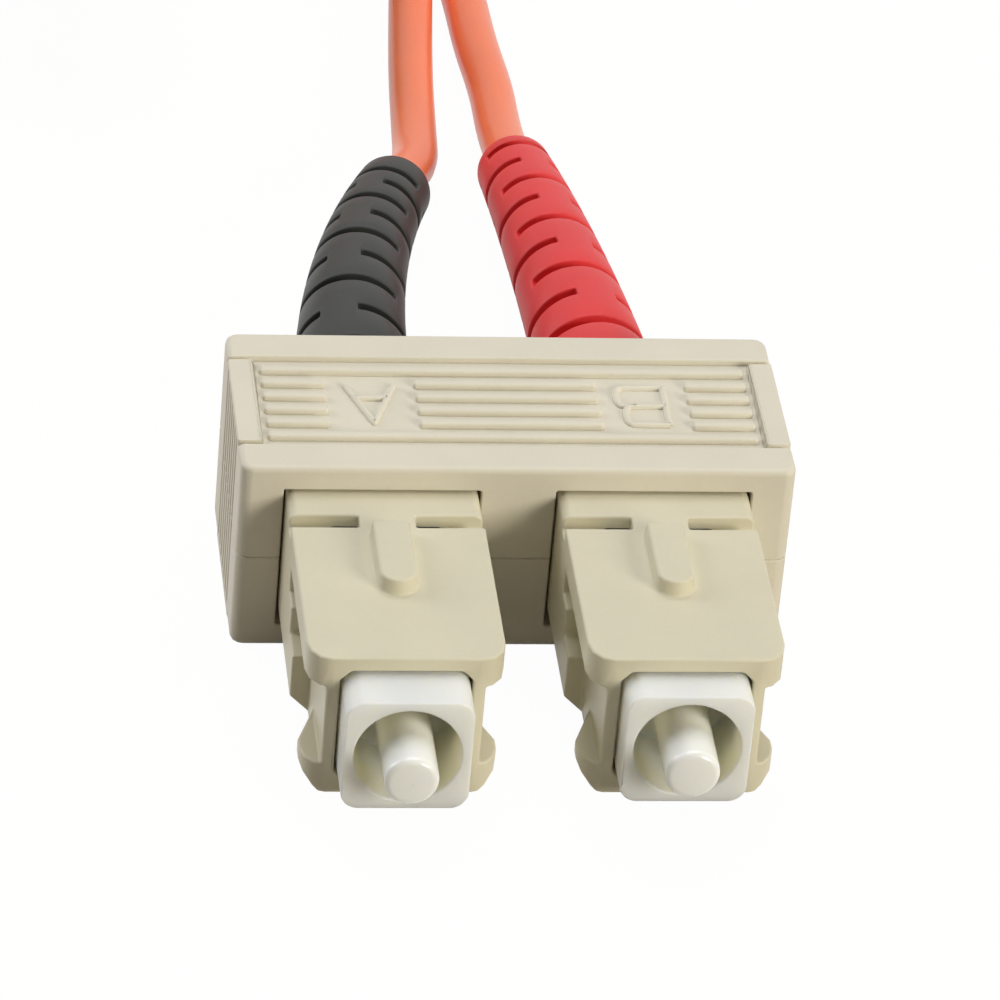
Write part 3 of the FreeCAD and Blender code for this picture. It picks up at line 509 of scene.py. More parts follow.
@dataclass
class GripSleeve(MouldedPiece):
    """A grip sleeve, whose part behind the slots has rounder long edges."""

    half_width: float = 4.5
    half_height: float = 3.7
    slots_end: float = 11.4
    key_half: float = 1.2
    key_back: float = 11.0
    key_band: float = 0.2
    key_shift: float = 1.0
    window_middle: float = 1.05
    edge_rounding: float = 0.42
    shortest_foot: float = 0.14

    def _shape(self, piece: Piece) -> None:
        """Joins the triangles, ends the key at the slots and rounds the long edges behind them."""
        join_flats(piece)
        low, high = node_box(self.node)
        middle = Vector(((low.x + high.x) / 2, 0, low.z + self.half_height))
        top = low.z + 2 * self.half_height
        for vertex in piece.data.vertices:
            spot = vertex.co / MM
            on_key = abs(spot.x - middle.x) < self.key_half and spot.z > top - CLOSE
            if on_key and abs(spot.y - low.y - self.key_back) < self.key_band:
                vertex.co.y -= self.key_shift * MM
        window = middle + Vector((0, 0, self.window_middle))
        split_flats(piece, (middle * MM, ACROSS), (middle * MM, UP), (window * MM, UP))

        def at_ramp_foot(a: Vector, b: Vector) -> bool:
            """Whether an edge is one of the ramps' feet, which are too short to be rounded."""
            short = (b - a).length < self.shortest_foot * MM
            return short and max(a.z, b.z) / MM < low.z + CLOSE

        def behind_slots(a: Vector, b: Vector) -> bool:
            """Whether an edge runs along an outer corner of the rear part."""
            for point in (a / MM, b / MM):
                wide = abs(abs(point.x - middle.x) - self.half_width) < CLOSE
                tall = abs(abs(point.z - middle.z) - self.half_height) < CLOSE
                if not wide or not tall or point.y < low.y + self.slots_end:
                    return False
            return abs((b - a).normalized().y) > ALIGNED

        select_edges(piece, at_ramp_foot)
        bpy.ops.mesh.merge(type="COLLAPSE")
        close_mesh()
        select_edges(piece, behind_slots)
        round_selected(self.edge_rounding, 4)


@dataclass
class PlugFrame(MouldedPiece):
    """A plug's square frame, whose long edges are rounder than the rest."""

    side: float = 5.8
    edges_from: float = 2.2
    edge_rounding: float = 0.3
    bore: float = 2.45
    bore_front: float = 0.15
    bore_depth: float = 4.0

    def _shape(self, piece: Piece) -> None:
        """Joins the triangles and rounds the long edges."""
        join_flats(piece)
        middle = self._middle()
        split_flats(piece, (middle * MM, ACROSS), (middle * MM, UP))

        def on_long_edge(a: Vector, b: Vector) -> bool:
            """Whether an edge runs along the frame on its outside."""
            spot = (a + b) / 2 / MM - middle
            inner, outer = sorted((abs(spot.x), abs(spot.z)))
            outside = outer > self.side / 2 - CLOSE and inner > self.edges_from
            return outside and abs((b - a).normalized().y) > ALIGNED

        select_edges(piece, on_long_edge)
        round_selected(self.edge_rounding, 3)

    def _middle(self) -> Vector:
        """The middle of the frame's front, on the ferrule's axis, in millimetres."""
        low, high = node_box(self.node)
        return Vector(((low.x + high.x) / 2, low.y, (low.z + high.z) / 2))

    def build(self) -> Piece:
        """Builds the frame, and paints the wall of its bore a warmer, brighter white: painted light that
        stands in for the light through the plastic and its bounces in the bore.

        Returns:
            The frame, riding on the cable.
        """
        piece = super().build()
        piece.data.materials.append(FRAME_BORE_PAINTED_LIGHT.material())
        front = self._middle()
        # Faces inside the bore get the painted warm light
        for polygon in piece.data.polygons:
            spot = polygon.center / MM - front
            deep = self.bore_front < spot.y < self.bore_depth + CLOSE
            inside = deep and math.hypot(spot.x, spot.z) < self.bore + CLOSE
            polygon.material_index = 1 if inside else 0
        return piece


@dataclass
class ClipHalf(MouldedPiece):
    """Half of the clip: its shell with rounded rims, and its ribs modelled one by one."""

    end: End
    up: float
    half_height: float = 5.0
    field_depth: float = 0.3
    field_end: float = 3.75
    rim_rounding: float = 0.42
    pad_corner: tuple[float, float] = (11.8, 3.5)
    corner_rounding: float = 0.4
    pad_rounding: float = 0.27
    rib_end: float = 11.55
    rib_first: float = 2.79
    rib_pitch: float = 1.13
    rib_width: float = 0.52
    rib_sink: float = 0.15
    rib_rounding: float = 0.15
    rib_rows: int = 6
    broken_rows: tuple[int, ...] = (1, 2, 3, 4)
    mark: tuple[float, float] = (4.35, 8.55)

    def _spot(self, point: Vector) -> Vector:
        """A mesh point in millimetres from the clip's middle, with this half's outer face upwards."""
        spot = point / MM - self.end.shift - Vector((0, 0, AXIS_HEIGHT))
        spot.z *= self.up
        return spot

    def _shape(self, piece: Piece) -> None:
        """Lays the node's ribs down into the field, joins the faces and rounds the rims and pads."""
        open_mesh(piece)
        bpy.ops.mesh.remove_doubles(threshold=WELD * MM)
        close_mesh()
        top = self.half_height - CLOSE
        for vertex in piece.data.vertices:
            spot = self._spot(vertex.co)
            on_rib = abs(spot.x) < self.rib_end + CLOSE and abs(spot.y) < self.field_end - CLOSE
            if on_rib and spot.z > top:
                vertex.co.z -= self.up * self.field_depth * MM
        join_flats(piece)

        def at_pad_corner(a: Vector, b: Vector) -> bool:
            """Whether an edge stands at an inner corner of a grip pad."""
            across, along = self.pad_corner
            return all(abs(abs(p.x) - across) < CLOSE and abs(abs(p.y) - along) < CLOSE for p in (a, b))

        def on_pad(a: Vector, b: Vector) -> bool:
            """Whether an edge lies on the outline of a grip pad's top."""
            within = all(abs(p.y) < self.field_end - CLOSE and abs(p.x) > self.rib_end for p in (a, b))
            return within and min(a.z, b.z) > top

        def on_rim(a: Vector, b: Vector) -> bool:
            """Whether an edge lies on the outer outline of a rim's top."""
            inner, outer = sorted((abs(a.y), abs(b.y)))
            return min(a.z, b.z) > top and inner > self.field_end - CLOSE and outer >= self.field_end + CLOSE

        roundings = ((at_pad_corner, self.corner_rounding, 4), (on_pad, self.pad_rounding, 4),
                     (on_rim, self.rim_rounding, 5))
        for test, rounding, segments in roundings:
            select_edges(piece, lambda a, b: test(self._spot(a), self._spot(b)))
            round_selected(rounding, segments)

    def _bars(self) -> list[Triple]:
        """Each rib's left end, right end and place along the clip."""
        inner, outer = self.mark
        bars = []
        for row in range(self.rib_rows):
            spans = [(-self.rib_end, self.rib_end)]
            if row in self.broken_rows:
                spans = [(-self.rib_end, -outer), (-inner, inner), (outer, self.rib_end)]
            bars += [(left, right, self.rib_first - row * self.rib_pitch) for left, right in spans]
        return bars

    def _bar(self, left: float, right: float, along: float) -> Piece:
        """Models one rib as a bar with rounded edges, sunk a little into the field.

        Args:
            left: Where it starts across the clip, in millimetres.
            right: Where it ends.
            along: Its place along the clip.

        Returns:
            The rib.
        """
        tall = self.field_depth + self.rib_sink
        middle = Vector(((left + right) / 2, along, AXIS_HEIGHT + self.up * (self.half_height - tall / 2)))
        clear_selection()
        bpy.ops.mesh.primitive_cube_add(size=1.0, location=(self.end.shift + middle) * MM,
                                        scale=Vector((right - left, self.rib_width, tall)) * MM)
        bpy.ops.object.transform_apply(location=True, rotation=True, scale=True)
        open_mesh(bpy.context.active_object)
        round_selected(self.rib_rounding, 3)
        return bpy.context.active_object

    def _add_forms(self, piece: Piece) -> None:
        """Sets the ribs on the field."""
        ribs = [self._bar(*bar) for bar in self._bars()]
        make_active(piece)
        for rib in ribs:
            rib.select_set(True)
        bpy.ops.object.join()


def curve_object(name: str, routes: list[list[Vector]], radius: float, fineness: int,
                 steps: int = 8) -> Piece:
    """Makes a round bead along open curves.

    Args:
        name: The curve's name.
        routes: Each curve's control points, in millimetres.
        radius: The bead's radius in millimetres, or nought for a bare line.
        fineness: How fine the bead's section is.
        steps: Points to each span of a curve.

    Returns:
        The curve object.
    """
    curve = bpy.data.curves.new(name, "CURVE")
    configure(curve, dimensions="3D", resolution_u=steps, bevel_depth=radius * MM, bevel_resolution=fineness,
              use_fill_caps=True)
    for route in routes:
        spline = curve.splines.new("NURBS")
        spline.points.add(len(route) - 1)
        for point, place in zip(spline.points, route):
            point.co = (*(place * MM), 1.0)
        spline.order_u = min(3, len(route))
        spline.use_endpoint_u = True
    return add_object(name, curve)


def curve_to_mesh(piece: Piece) -> Piece:
    """Makes a curve object a mesh, and leaves it active."""
    make_active(piece)
    bpy.ops.object.convert(target="MESH")
    return bpy.context.active_object


@dataclass
class ChannelLetter:
    """A letter raised as a thin bead on the clip's field, read from the cable's side."""

    letter: str
    end: End
    across: float
    width: float = 2.3
    tall: float = 3.2
    height: float = 9.73
    bead: float = 0.17

    def _strokes(self) -> list[list[tuple[float, float]]]:
        """The letter's strokes in shares of its width and height, from its lower left corner."""
        if self.letter == "A":
            return [[(0, 0), (0.49, 0.98), (0.5, 1), (0.51, 0.98), (1, 0)], [(0.17, 0.34), (0.83, 0.34)]]
        upper = [(0, 1), (0.6, 1), (0.86, 0.98), (0.86, 0.52), (0.6, 0.5), (0, 0.5)]
        lower = [(0.62, 0.5), (0.74, 0.5), (1, 0.48), (1, 0.02), (0.66, 0), (0, 0)]
        return [[(0, 0), (0, 1)], upper, lower]

    def build(self) -> Piece:
        """Draws the strokes on the field and makes them a mesh.

        Returns:
            The letter, riding with the clip.
        """
        name = f"{self.end.value}_letter_{self.letter.lower()}"
        place = self.end.shift + Vector((self.across, 0.0, self.height))
        routes = [[place - Vector(((u - 0.5) * self.width, (v - 0.5) * self.tall, 0)) for u, v in stroke]
                  for stroke in self._strokes()]
        piece = curve_to_mesh(curve_object(name, routes, self.bead, 3, steps=10))
        bpy.ops.object.shade_smooth_by_angle(angle=SMOOTH_ANGLE)
        return dress(piece, name, CLIP_IVORY, f"{self.end.value}_grip")


@dataclass
class Ferrule:
    """The ceramic ferrule: a ground pin with a rounded tip, the fibre's core in it and a narrower seat."""

    end: End
    channel: Channel
    lead: float
    radius: float = 1.25
    length: float = 10.5
    out: float = 2.05
    bearing: float = 4.0
    seat: float = 1.05
    chamfer: float = 0.34
    dome: tuple[tuple[float, float], ...] = ((0.45, 0.03), (0.35, 0.01))
    core: tuple[float, float] = (0.04, 0.02)
    smooth_angle: float = 35.0

    def build(self) -> Piece:
        """Turns the pin, rounds its tip, sinks the fibre's core and draws out the seat.

        Returns:
            The ferrule, riding on its own body.
        """
        front = SLEEVE_FRONT - self.lead - self.out
        ground = self.out + self.bearing if self.end is End.NEAR else self.length
        middle = self.end.shift + Vector((self.channel.side * PITCH / 2, front + ground / 2, AXIS_HEIGHT))
        piece = add_rod(self.radius * MM, ground * MM, middle * MM)
        tip = self.end.shift.y + front
        select_edges(piece, lambda a, b: max(abs(a.y / MM - tip), abs(b.y / MM - tip)) < CLOSE)
        round_selected(self.chamfer, 5)
        self._select_end(piece, -1)
        for inset, rise in self.dome:
            bpy.ops.mesh.inset(thickness=inset * MM)
            bpy.ops.transform.translate(value=(0, -rise * MM, 0))
        inset, sink = self.core
        bpy.ops.mesh.inset(thickness=inset * MM)
        draw_out(sink * MM)
        if ground < self.length:
            self._select_end(piece, 1)
            bpy.ops.mesh.inset(thickness=(self.radius - self.seat) * MM)
            draw_out((self.length - ground) * MM)
        bpy.ops.object.shade_smooth_by_angle(angle=math.radians(self.smooth_angle))
        name = f"{self.end.value}_ferrule_{self.channel.value}"
        return dress(piece, f"{name}_ground", CERAMIC_WHITE, name, name)

    @staticmethod
    def _select_end(piece: Piece, side: int) -> None:
        """Selects the pin's flat end, minus one for the tip and one for the back, in edit mode."""
        select_faces(piece, lambda face: face.normal.y * side > ALIGNED and len(face.vertices) == ROD_SIDES)


@dataclass
class FerruleSpring:
    """The spring behind a near ferrule, copied as one fixed mesh."""

    channel: Channel

    def build(self) -> None:
        """Copies the spring's node into a fixed steel mesh in place of the node."""
        key = self.channel.value
        node = f"near_spring_{key}"
        piece = copy_node(node)
        piece.name = f"{node}_wound"
        piece.data.name = piece.name
        cover(piece, SPRING_STEEL)
        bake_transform(piece)
        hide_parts(node)


def dress_inner_pieces() -> None:
    """Gives the turned and sprung pieces inside the plugs their metals."""
    metals = {"ferrule_flange": TURNED_METAL, "stop_body": TURNED_METAL, "crimp_sleeve": CRIMP_BRASS}
    for channel in Channel:
        FerruleSpring(channel).build()
        for piece, finish in metals.items():
            cover(frame["nodes"][f"near_{piece}_{channel.value}"], finish)


# Boots


@dataclass
class BootLine:
    """A boot's centre line: straight to the clip's back, then one arc down and aside."""

    end: End
    channel: Channel
    aside: float
    lean: float = 0.0
    drop: float = 2.75
    tail: float = 28.0
    root_length: float = 8.0

    @property
    def bend(self) -> Vector:
        """Where the line leaves the clip."""
        return self.end.shift + Vector((self.channel.side * PITCH / 2, CLIP_REAR, AXIS_HEIGHT))

    def at(self, distance: float) -> tuple[Vector, Vector]:
        """Follows the line.

        Args:
            distance: Millimetres past the clip's back, less than zero inside it.

        Returns:
            The point and the direction there.
        """
        start = self.bend + Vector((self.lean * max(0.0, distance + self.root_length), 0, 0))
        if distance <= 0:
            return start + Vector((0, distance, 0)), Vector((self.lean, 1, 0)).normalized()
        shift = math.hypot(self.aside, self.drop)
        way = Vector((self.aside, 0, -self.drop)) / shift
        angle = 2 * math.atan(shift / self.tail)
        radius = self.tail / angle
        turn = distance / radius
        point = start + Vector((0, radius * math.sin(turn), 0)) + way * (radius * (1 - math.cos(turn)))
        return point, (Vector((self.lean, math.cos(turn), 0)) + way * math.sin(turn)).normalized()


@dataclass
class Boot:
    """A bend relief boot: a taper with pairs of slots that turn by 90 degrees from ring to ring.

    It is drawn straight along Y in millimetres, with a radius of one, and then carried along its line.
    """

    line: BootLine
    finish: Finish
    roll: float
    spacing: Triple
    tail: float
    front: float
    most_rings: int = 12
    solid_tip: float = 1.0
    bore: float = 2.5
    bore_end: float = -6.8
    inside: float = 2.72
    shoulder: float = -0.3
    shoulder_start: float = -1.0
    root: float = 3.02
    tip: float = 1.95
    slot: float = 0.66
    depth: float = 0.9
    half_span: float = 68.0
    mouth_wall: float = 0.32
    mouth_depth: float = 0.9
    rounding: float = 0.1
    rounded_from: float = 50.0

    def rings(self) -> list[float]:
        """The distances of the slots' middles along the line, closer together towards the tip."""
        first, pitch, closing = self.spacing
        places = [first + pitch * i - closing * i * i for i in range(self.most_rings)]
        return [place for place in places if place < self.tail - self.solid_tip]

    def radius(self, along: float) -> float:
        """The boot's radius at a distance along its line."""
        if along < self.shoulder:
            return self.inside
        return self.root + (self.tip - self.root) * max(0.0, along) / self.tail

    def build(self) -> Piece:
        """Draws the boot straight, cuts its rings and slots, then tapers and bends it along its line.

        Returns:
            The boot, riding on the cable in place of its node.
        """
        piece = add_rod(1.0, self.tail - self.front, Vector((0, (self.tail + self.front) / 2, 0)))
        self._cut_rings(piece)
        self._sink_slots(piece)
        self._sink_end(piece, self.tail, self.mouth_wall, self.tail - self.mouth_depth)
        if self.line.end is End.NEAR:
            self._sink_end(piece, self.front, 1 - self.bore / self.inside, self.bore_end)
        self._carry(piece)
        soften(piece, self.rounding, self.rounded_from)
        even_shading(piece)
        name = f"{self.line.end.value}_boot_{self.line.channel.value}"
        return dress(piece, f"{name}_slotted", self.finish, "cable", name)

    def _cut_rings(self, piece: Piece) -> None:
        """Cuts the rod across at its shoulder, at both sides of each slot, and between for the bend."""
        cuts = [self.shoulder_start, self.shoulder]
        places = self.rings()
        for middle, after in zip(places, places[1:] + [self.tail]):
            cuts += [middle - self.slot / 2, middle + self.slot / 2, (middle + after) / 2]
        split_flats(piece, *((ALONG * cut, ALONG) for cut in cuts))

    def _sink_slots(self, piece: Piece) -> None:
        """Presses each ring's two slots into the wall, each ring a quarter turn on from the last."""
        middles = self.rings()
        for polygon in piece.data.polygons:
            spot = polygon.center
            polygon.select = False
            if abs(polygon.normal.y) > ALIGNED:
                continue
            for ring, middle in enumerate(middles):
                if abs(spot.y - middle) < self.slot / 2 + CLOSE:
                    turn = math.degrees(math.atan2(spot.x, spot.z)) - self.roll - 90 * (ring % 2)
                    polygon.select = abs((turn + 90) % 180 - 90) < self.half_span
        # The last cut's edges are still selected, so they are pressed in too, as a ring hidden in the wall
        bpy.ops.object.mode_set(mode="EDIT")
        bpy.ops.mesh.select_mode(type="FACE")
        bpy.ops.mesh.extrude_region_shrink_fatten(
            TRANSFORM_OT_shrink_fatten={"value": -self.depth / self.root, "use_even_offset": False})
        close_mesh()

    @staticmethod
    def _sink_end(piece: Piece, end: float, wall: float, floor: float) -> None:
        """Sinks a round well in one end of the straight boot.

        Args:
            piece: The boot.
            end: Where that end lies.
            wall: What stays round the well, as a share of the radius.
            floor: Where the well's floor lies.
        """
        select_faces(piece, lambda face: abs(face.normal.y) > ALIGNED and abs(face.center.y - end) < CLOSE)
        bpy.ops.mesh.inset(thickness=wall)
        draw_out(floor - end)

    def _carry(self, piece: Piece) -> None:
        """Tapers the straight boot and carries each point along the line."""
        for vertex in piece.data.vertices:
            along = vertex.co.y
            radius = self.radius(along)
            point, direction = self.line.at(along)
            turn = ALONG.rotation_difference(direction)
            vertex.co = (point + turn @ Vector((vertex.co.x * radius, 0, vertex.co.z * radius))) * MM


# Cords


def spline_points(piece: Piece) -> list[Vector]:
    """The points of a curve's own line, without its thickness, in order, in metres."""
    bevel, piece.data.bevel_depth = piece.data.bevel_depth, 0.0
    line = bpy.data.meshes.new_from_object(piece.evaluated_get(bpy.context.evaluated_depsgraph_get()))
    points = [v.co.copy() for v in line.vertices]
    bpy.data.meshes.remove(line)
    piece.data.bevel_depth = bevel
    return points


def polyline_length(points: list[Vector]) -> float:
    """The length along points."""
    return sum((b - a).length for a, b in zip(points, points[1:]))


@dataclass
class Jacket:
    """One round jacket between a boot and the zip cord."""

    name: str
    route: list[Vector]
    exit: Vector
    far_end: str
    carried: tuple[Piece, ...] = ()
    diameter: float = 2.4

    def build(self) -> None:
        piece = curve_object(self.name, [self.route], self.diameter / 2, 8)
        length = polyline_length(spline_points(piece))
        dress(piece, f"{self.name}_jacket", JACKET_ORANGE, "cable", self.name)


@dataclass
class ZipCord:
    """Two jackets side by side on edge: a short lead, then one neat flat coil from the outside inwards."""

    jacket: float = 2.4
    web: float = 0.2
    web_thickness: float = 0.6
    facets: int = 24
    smooth_angle: float = 50.0
    coil_x: float = -20.0
    coil_y: float = 96.0
    outer: float = 31.0
    pitch: float = 2.45
    floor: float = 0.5
    split: tuple[float, float] = (2.4, 67.0)
    start: float = -33.0
    end: float = 1710.0
    step: float = 10.0

    @property
    def middle(self) -> float:
        """The height of the web."""
        return self.floor + self.jacket + self.web / 2

    @property
    def strand(self) -> float:
        """How far each jacket lies from the web's middle."""
        return (self.jacket + self.web) / 2

    def at(self, radius: float, degrees: float, height: float) -> Vector:
        """A point given by its radius and angle about the coil's middle."""
        turn = math.radians(degrees)
        return Vector((self.coil_x + radius * math.cos(turn), self.coil_y + radius * math.sin(turn), height))

    def radius(self, degrees: float) -> float:
        """The cord's radius at an angle that runs on from turn to turn."""
        return self.outer - self.pitch * (degrees - self.start) / 360

    def inner_end(self, height: float) -> Vector:
        """Where the coil's inner end lies, at a height."""
        return self.at(self.radius(self.end), self.end, height)

    def route(self) -> list[Vector]:
        """The lead's points and then the coil's, thirty-six to a turn."""
        first = Vector((*self.split, self.middle))
        merge = self.at(self.outer, self.start, self.middle)
        half = math.radians(-self.start) / 2
        corner = first + Vector((0, (merge - first).length / 2 / math.cos(half), 0))
        points = [first, corner, merge]
        count = int(round((self.end - self.start) / self.step))
        for i in range(1, count + 1):
            degrees = self.start + (self.end - self.start) * i / count
            points.append(self.at(self.radius(degrees), degrees, self.middle))
        return points

    def profile(self) -> Piece:
        """The section on edge: two circles that run into a thin web."""
        radius, low = self.jacket / 2, self.web_thickness / 2
        reach = math.asin(low / radius)
        outline = []
        for sign in (1, -1):
            for i in range(self.facets + 1):
                turn = -math.pi / 2 + reach + (2 * math.pi - 2 * reach) * i / self.facets
                rise = self.strand + radius * math.sin(turn)
                outline.append((sign * radius * math.cos(turn), sign * rise))
        curve = bpy.data.curves.new("zip_profile", "CURVE")
        spline = curve.splines.new("POLY")
        spline.points.add(len(outline) - 1)
        for point, (u, v) in zip(spline.points, outline):
            point.co = (u * MM, v * MM, 0, 1)
        spline.use_cyclic_u = True
        return add_object("zip_profile", curve)

    def build(self) -> None:
        piece = curve_object("zip_cord", [self.route()], 0.0, 0)
        path = spline_points(piece)
        section = self.profile()
        configure(piece.data, twist_mode="Z_UP", bevel_mode="OBJECT", bevel_object=section)
        piece = curve_to_mesh(piece)
        bpy.data.objects.remove(section)
        open_mesh(piece)
        bpy.ops.mesh.remove_doubles(threshold=WELD / 2 * MM)
        bpy.ops.mesh.normals_make_consistent(inside=False)
        close_mesh()
        bpy.ops.object.shade_smooth_by_angle(angle=math.radians(self.smooth_angle))
        dress(piece, "zip_cord_pair", JACKET_ORANGE, "cable", "zip_lead", "zip_coil")


# Assembly


@dataclass
class Connector:
    """One duplex connector: the clip with both grip sleeves, and two plugs with their boots."""

    end: End
    leads: tuple[float, float] = (2.3, 1.75)
    letters: tuple[float, float] = (-6.45, 6.35)

    def line(self, channel: Channel) -> BootLine:
        """The centre line of one boot."""
        if channel is Channel.A:
            return BootLine(self.end, channel, aside=5.0)
        if self.end is End.NEAR:
            return BootLine(self.end, channel, aside=-0.1, lean=-0.05)
        return BootLine(self.end, channel, aside=-2.1)

    def boot(self, channel: Channel) -> Boot:
        """The boot of one channel: black and shorter on A, red on B."""
        line = self.line(channel)
        front = -9.6 if self.end is End.NEAR else -11.5
        if channel is Channel.A:
            return Boot(line, BOOT_BLACK, roll=-17.0, spacing=(2.9, 3.4, 0.1), tail=25.8, front=front)
        return Boot(line, BOOT_RED, roll=102.0, spacing=(2.0, 3.1, 0.03), tail=28.6, front=front)

    def build(self) -> dict[str, Piece]:
        """Builds every piece of the connector.

        Returns:
            The pieces, by the names of the nodes that they stand for, and the letters.
        """
        made = {}
        end = self.end.value
        grip = f"{end}_grip"
        for half, up in (("upper", 1.0), ("lower", -1.0)):
            node = f"{end}_clip_{half}"
            made[node] = ClipHalf(node, grip, CLIP_IVORY, rounding=0.1, end=self.end, up=up).build()
        for channel, across in zip(Channel, self.letters):
            made[f"letter_{channel.value}"] = ChannelLetter(channel.name, self.end, across).build()
        for channel, lead in zip(Channel, self.leads):
            key = channel.value
            sleeve, plug = f"{end}_grip_sleeve_{key}", f"{end}_plug_frame_{key}"
            made[sleeve] = GripSleeve(sleeve, grip, SLEEVE_IVORY, rounding=0.12).build()
            made[plug] = PlugFrame(plug, "cable", FRAME_WHITE, rounding=0.1).build()
            made[f"{end}_ferrule_{key}"] = Ferrule(self.end, channel, lead).build()
            made[f"{end}_boot_{key}"] = self.boot(channel).build()
        return made


class Cabling:
    """The two legs behind each connector, the zip cord between them and the ties round its coil.

    NEAR holds the near legs' points. TURNS holds the far legs' points over the coil, as radius, angle and
    height, and BENDS those that follow, from the coil's middle. TUCK is how far a jacket goes into its boot.
    """

    NEAR = {
        Channel.A: [(-0.32, 39.4, 1.34), (0.02, 45.0, 1.27), (0.5, 50.6, 1.39), (0.95, 55.8, 2.25),
                    (1.75, 60.4, 3.8), (2.3, 64.2, 4.3)],
        Channel.B: [(4.2, 39.9, 1.34), (4.25, 44.0, 1.27), (3.85, 48.8, 1.27), (3.75, 53.8, 1.27),
                    (3.4, 58.8, 1.27), (2.6, 63.4, 1.5)],
    }
    TURNS = {
        Channel.A: [(19.2, -78, 4.4), (19.5, -62, 5.3), (20.3, -46, 6.35), (21.9, -31.5, 6.75),
                    (24.0, -17.5, 6.73), (26.2, -4.5, 6.73), (27.8, 8.5, 6.73), (28.4, 22.1, 6.73)],
        Channel.B: [(19.15, -78, 1.75), (19.0, -61.5, 2.3), (18.9, -45, 3.7), (18.9, -28.5, 5.5),
                    (19.3, -12, 6.65), (21.8, 3, 6.73), (24.4, 14.5, 6.73), (25.3, 26.9, 6.73)],
    }
    BENDS = {
        Channel.A: [(22.86, 16.83, 6.73), (17.03, 20.82, 6.73), (10.04, 21.85, 6.73), (3.31, 19.71, 6.73),
                    (-1.81, 14.84, 6.75), (-4.2, 8.9, 6.9)],
        Channel.B: [(18.44, 16.36, 6.73), (12.4, 18.57, 6.73), (6.07, 17.6, 6.73), (2.1, 15.0, 6.75),
                    (-0.35, 10.9, 6.86)],
    }
    TUCK = 2.4
    NEAR_STRAIGHT = 2.6
    FAR_STRAIGHT = 2.8
    TIE_ROUNDING = 0.12

    def __init__(self, near: Connector, far: Connector) -> None:
        """Keeps the connectors that the legs run to."""
        self.near, self.far = near, far
        self.zip = ZipCord()

    def height(self, channel: Channel) -> float:
        """The height of a channel's jacket in the zip cord: A lies above B."""
        return self.zip.middle - channel.side * self.zip.strand

    def near_leg(self, channel: Channel) -> None:
        """Lays the leg from the near boot to the zip cord."""
        line = self.near.line(channel)
        mouth, way = line.at(line.tail)
        route = [line.at(line.tail - self.TUCK)[0], mouth, mouth + way * self.NEAR_STRAIGHT]
        route += [Vector(p) for p in self.NEAR[channel]] + [Vector((*self.zip.split, self.height(channel)))]
        Jacket(f"near_leg_{channel.value}", route, mouth, "object").build()

    def far_leg(self, channel: Channel, carried: tuple[Piece, ...]) -> None:
        """Lays the leg from the coil's inner end, over its turns, to the far boot.

        Args:
            channel: The leg's channel.
            carried: The far connector's pieces of this leg, handed to the jacket.
        """
        line = self.far.line(channel)
        mouth, way = line.at(line.tail)
        start = self.zip.inner_end(self.height(channel))
        middle = Vector((self.zip.coil_x, self.zip.coil_y, 0))
        route = [start] + [self.zip.at(*p) for p in self.TURNS[channel]]
        route += [middle + Vector(p) for p in self.BENDS[channel]]
        if channel is Channel.B:
            route.append(mouth + way * self.FAR_STRAIGHT)
        route += [mouth, line.at(line.tail - self.TUCK)[0]]
        Jacket(f"far_leg_{channel.value}", route, start, "connector", carried).build()

    def build(self, far: dict[str, Piece]) -> None:
        """Lays every cord and dresses the ties.

        Args:
            far: The far connector's pieces, shared out between its two legs' jackets.
        """
        for channel in Channel:
            self.near_leg(channel)
        self.zip.build()
        both = [p for n, p in far.items() if "clip" in n or "letter" in n]
        for channel in Channel:
            own = [p for n, p in far.items() if n.endswith(f"_{channel.value}") and p not in both]
            self.far_leg(channel, tuple(own + (both if channel is Channel.A else [])))
        for tie in ("tie_1", "tie_2"):
            MouldedPiece(tie, "cable", TIE_BLACK, self.TIE_ROUNDING).build()


# Studio


@dataclass
class Softbox:
    """A square lamp that points at a spot, in metres and watts."""

    name: str
    place: Triple
    aim: Triple
    size: float
    power: float
    colour: Triple = (1.0, 1.0, 1.0)

    def build(self) -> None:
        """Adds the lamp."""
        lamp = bpy.data.lights.new(self.name, "AREA")
        configure(lamp, shape="SQUARE", size=self.size, energy=self.power, color=self.colour)
        turn = (Vector(self.aim) - Vector(self.place)).to_track_quat("-Z", "Y")
        configure(add_object(self.name, lamp), location=self.place, rotation_mode="QUATERNION",
                  rotation_quaternion=turn)


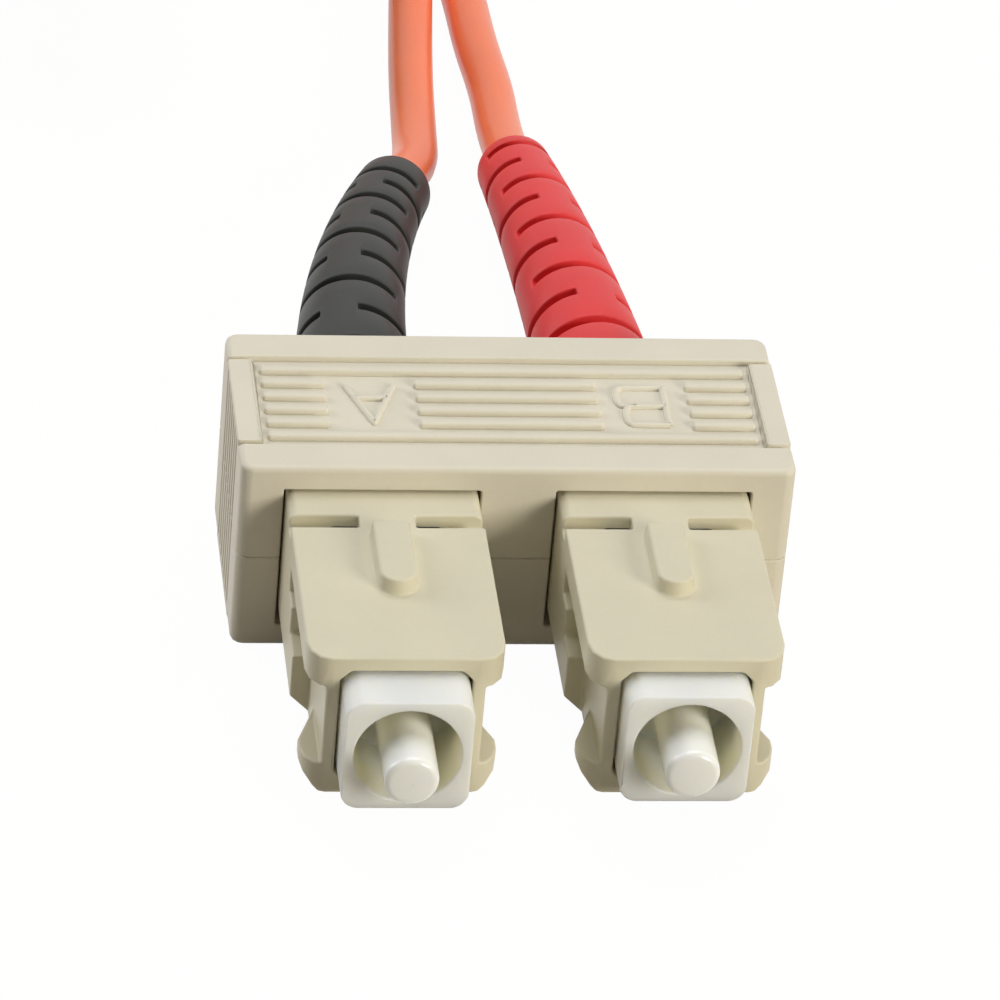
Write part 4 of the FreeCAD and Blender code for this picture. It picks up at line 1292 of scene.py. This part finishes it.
@dataclass
class Studio:
    """The white floor, the lamps, the world and the camera."""

    eye: Triple = (-39.5034, -258.7223, 177.4866)
    pitch: float = 33.477
    yaw: float = 8.687
    roll: float = 5.22
    focal_share: float = 6.6047
    sensor: float = 36.0
    ambient: float = 0.07
    floor_size: float = 3.0
    floor_colour: Triple = (0.42, 0.38, 0.31)
    floor_glow: float = 1.06
    floor_share: float = 0.92
    lamps: tuple[Softbox, ...] = (
        Softbox("top_softbox", place=(0.02, 0.12, 0.46), aim=(0, 0.02, 0), size=0.34, power=1.27),
        Softbox("right_softbox", place=(0.33, -0.36, 0.18), aim=(0, 0, 0.005), size=0.2, power=1.85,
                colour=(1.0, 0.95, 0.83)),
        Softbox("left_softbox", place=(-0.42, 0.2, 0.22), aim=(0, 0, 0.005), size=0.3, power=1.05),
    )

    def build(self) -> None:
        """Sets up everything round the object."""
        bpy.context.scene.view_settings.view_transform = "Standard"
        self._floor()
        self._world()
        for lamp in self.lamps:
            lamp.build()
        self._camera()

    @staticmethod
    def _sees_white(graph: NodeGraph) -> Node:
        """A node that gives one for a camera, mirror or glass ray and nought for the rest."""
        rays = graph.add("LightPath")
        first, second = (graph.add("Math", operation="MAXIMUM") for _ in range(2))
        graph.join((rays, "Is Camera Ray", first, 0), (rays, "Is Glossy Ray", first, 1),
                   (first, 0, second, 0), (rays, "Is Transmission Ray", second, 1))
        return second

    def _floor(self) -> None:
        """Lays a pale floor that shows as white and keeps a soft shadow."""
        clear_selection()
        bpy.ops.mesh.primitive_plane_add(size=self.floor_size, location=(0, 0, 0))
        floor = bpy.context.active_object
        floor.name = "studio_floor"
        made = bpy.data.materials.new("studio_white")
        graph = NodeGraph(made)
        graph.nodes.remove(graph.nodes["Principled BSDF"])
        matt = graph.add("BsdfDiffuse", {"Color": (*self.floor_colour, 1)})
        glow = graph.add("Emission", {"Strength": self.floor_glow})
        share = graph.add("Math", {1: self.floor_share}, operation="MULTIPLY")
        mix = graph.add("MixShader")
        graph.join((self._sees_white(graph), 0, share, 0), (share, 0, mix, "Fac"), (matt, 0, mix, 1),
                   (glow, 0, mix, 2), (mix, 0, graph.nodes["Material Output"], "Surface"))
        floor.data.materials.append(made)

    def _world(self) -> None:
        """Surrounds the set with even white light."""
        world = bpy.data.worlds.new("studio_world")
        graph = NodeGraph(world)
        span = graph.add("MapRange", {"To Min": self.ambient, "To Max": 1.0})
        back = graph.nodes["Background"]
        graph.fill(back, {"Color": (1, 1, 1, 1)})
        graph.join((self._sees_white(graph), 0, span, "Value"), (span, "Result", back, "Strength"))
        bpy.context.scene.world = world

    def _camera(self) -> None:
        """Stands the camera where the photograph was taken from."""
        pitch, yaw = math.radians(self.pitch), math.radians(self.yaw)
        ahead = Vector((math.sin(yaw) * math.cos(pitch), math.cos(yaw) * math.cos(pitch), -math.sin(pitch)))
        level = ahead.cross(UP).normalized()
        above = level.cross(ahead)
        roll = math.radians(self.roll)
        right = level * math.cos(roll) + above * math.sin(roll)
        up = above * math.cos(roll) - level * math.sin(roll)
        data = bpy.data.cameras.new("photo_camera")
        configure(data, sensor_width=self.sensor, lens=self.sensor * self.focal_share, clip_start=0.01)
        camera = add_object("photo_camera", data)
        turn = Matrix((right, up, -ahead)).transposed()
        camera.matrix_world = Matrix.Translation(Vector(self.eye) * MM) @ turn.to_4x4()
        bpy.context.scene.camera = camera


def main() -> None:
    """Builds the studio, both connectors and the cords."""
    logging.basicConfig(level=logging.INFO, format="%(name)s: %(message)s")
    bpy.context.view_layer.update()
    Studio().build()
    near, far = Connector(End.NEAR), Connector(End.FAR)
    near.build()
    far_pieces = far.build()
    Cabling(near, far).build(far_pieces)
    dress_inner_pieces()


if __name__ == "__main__":
    main()
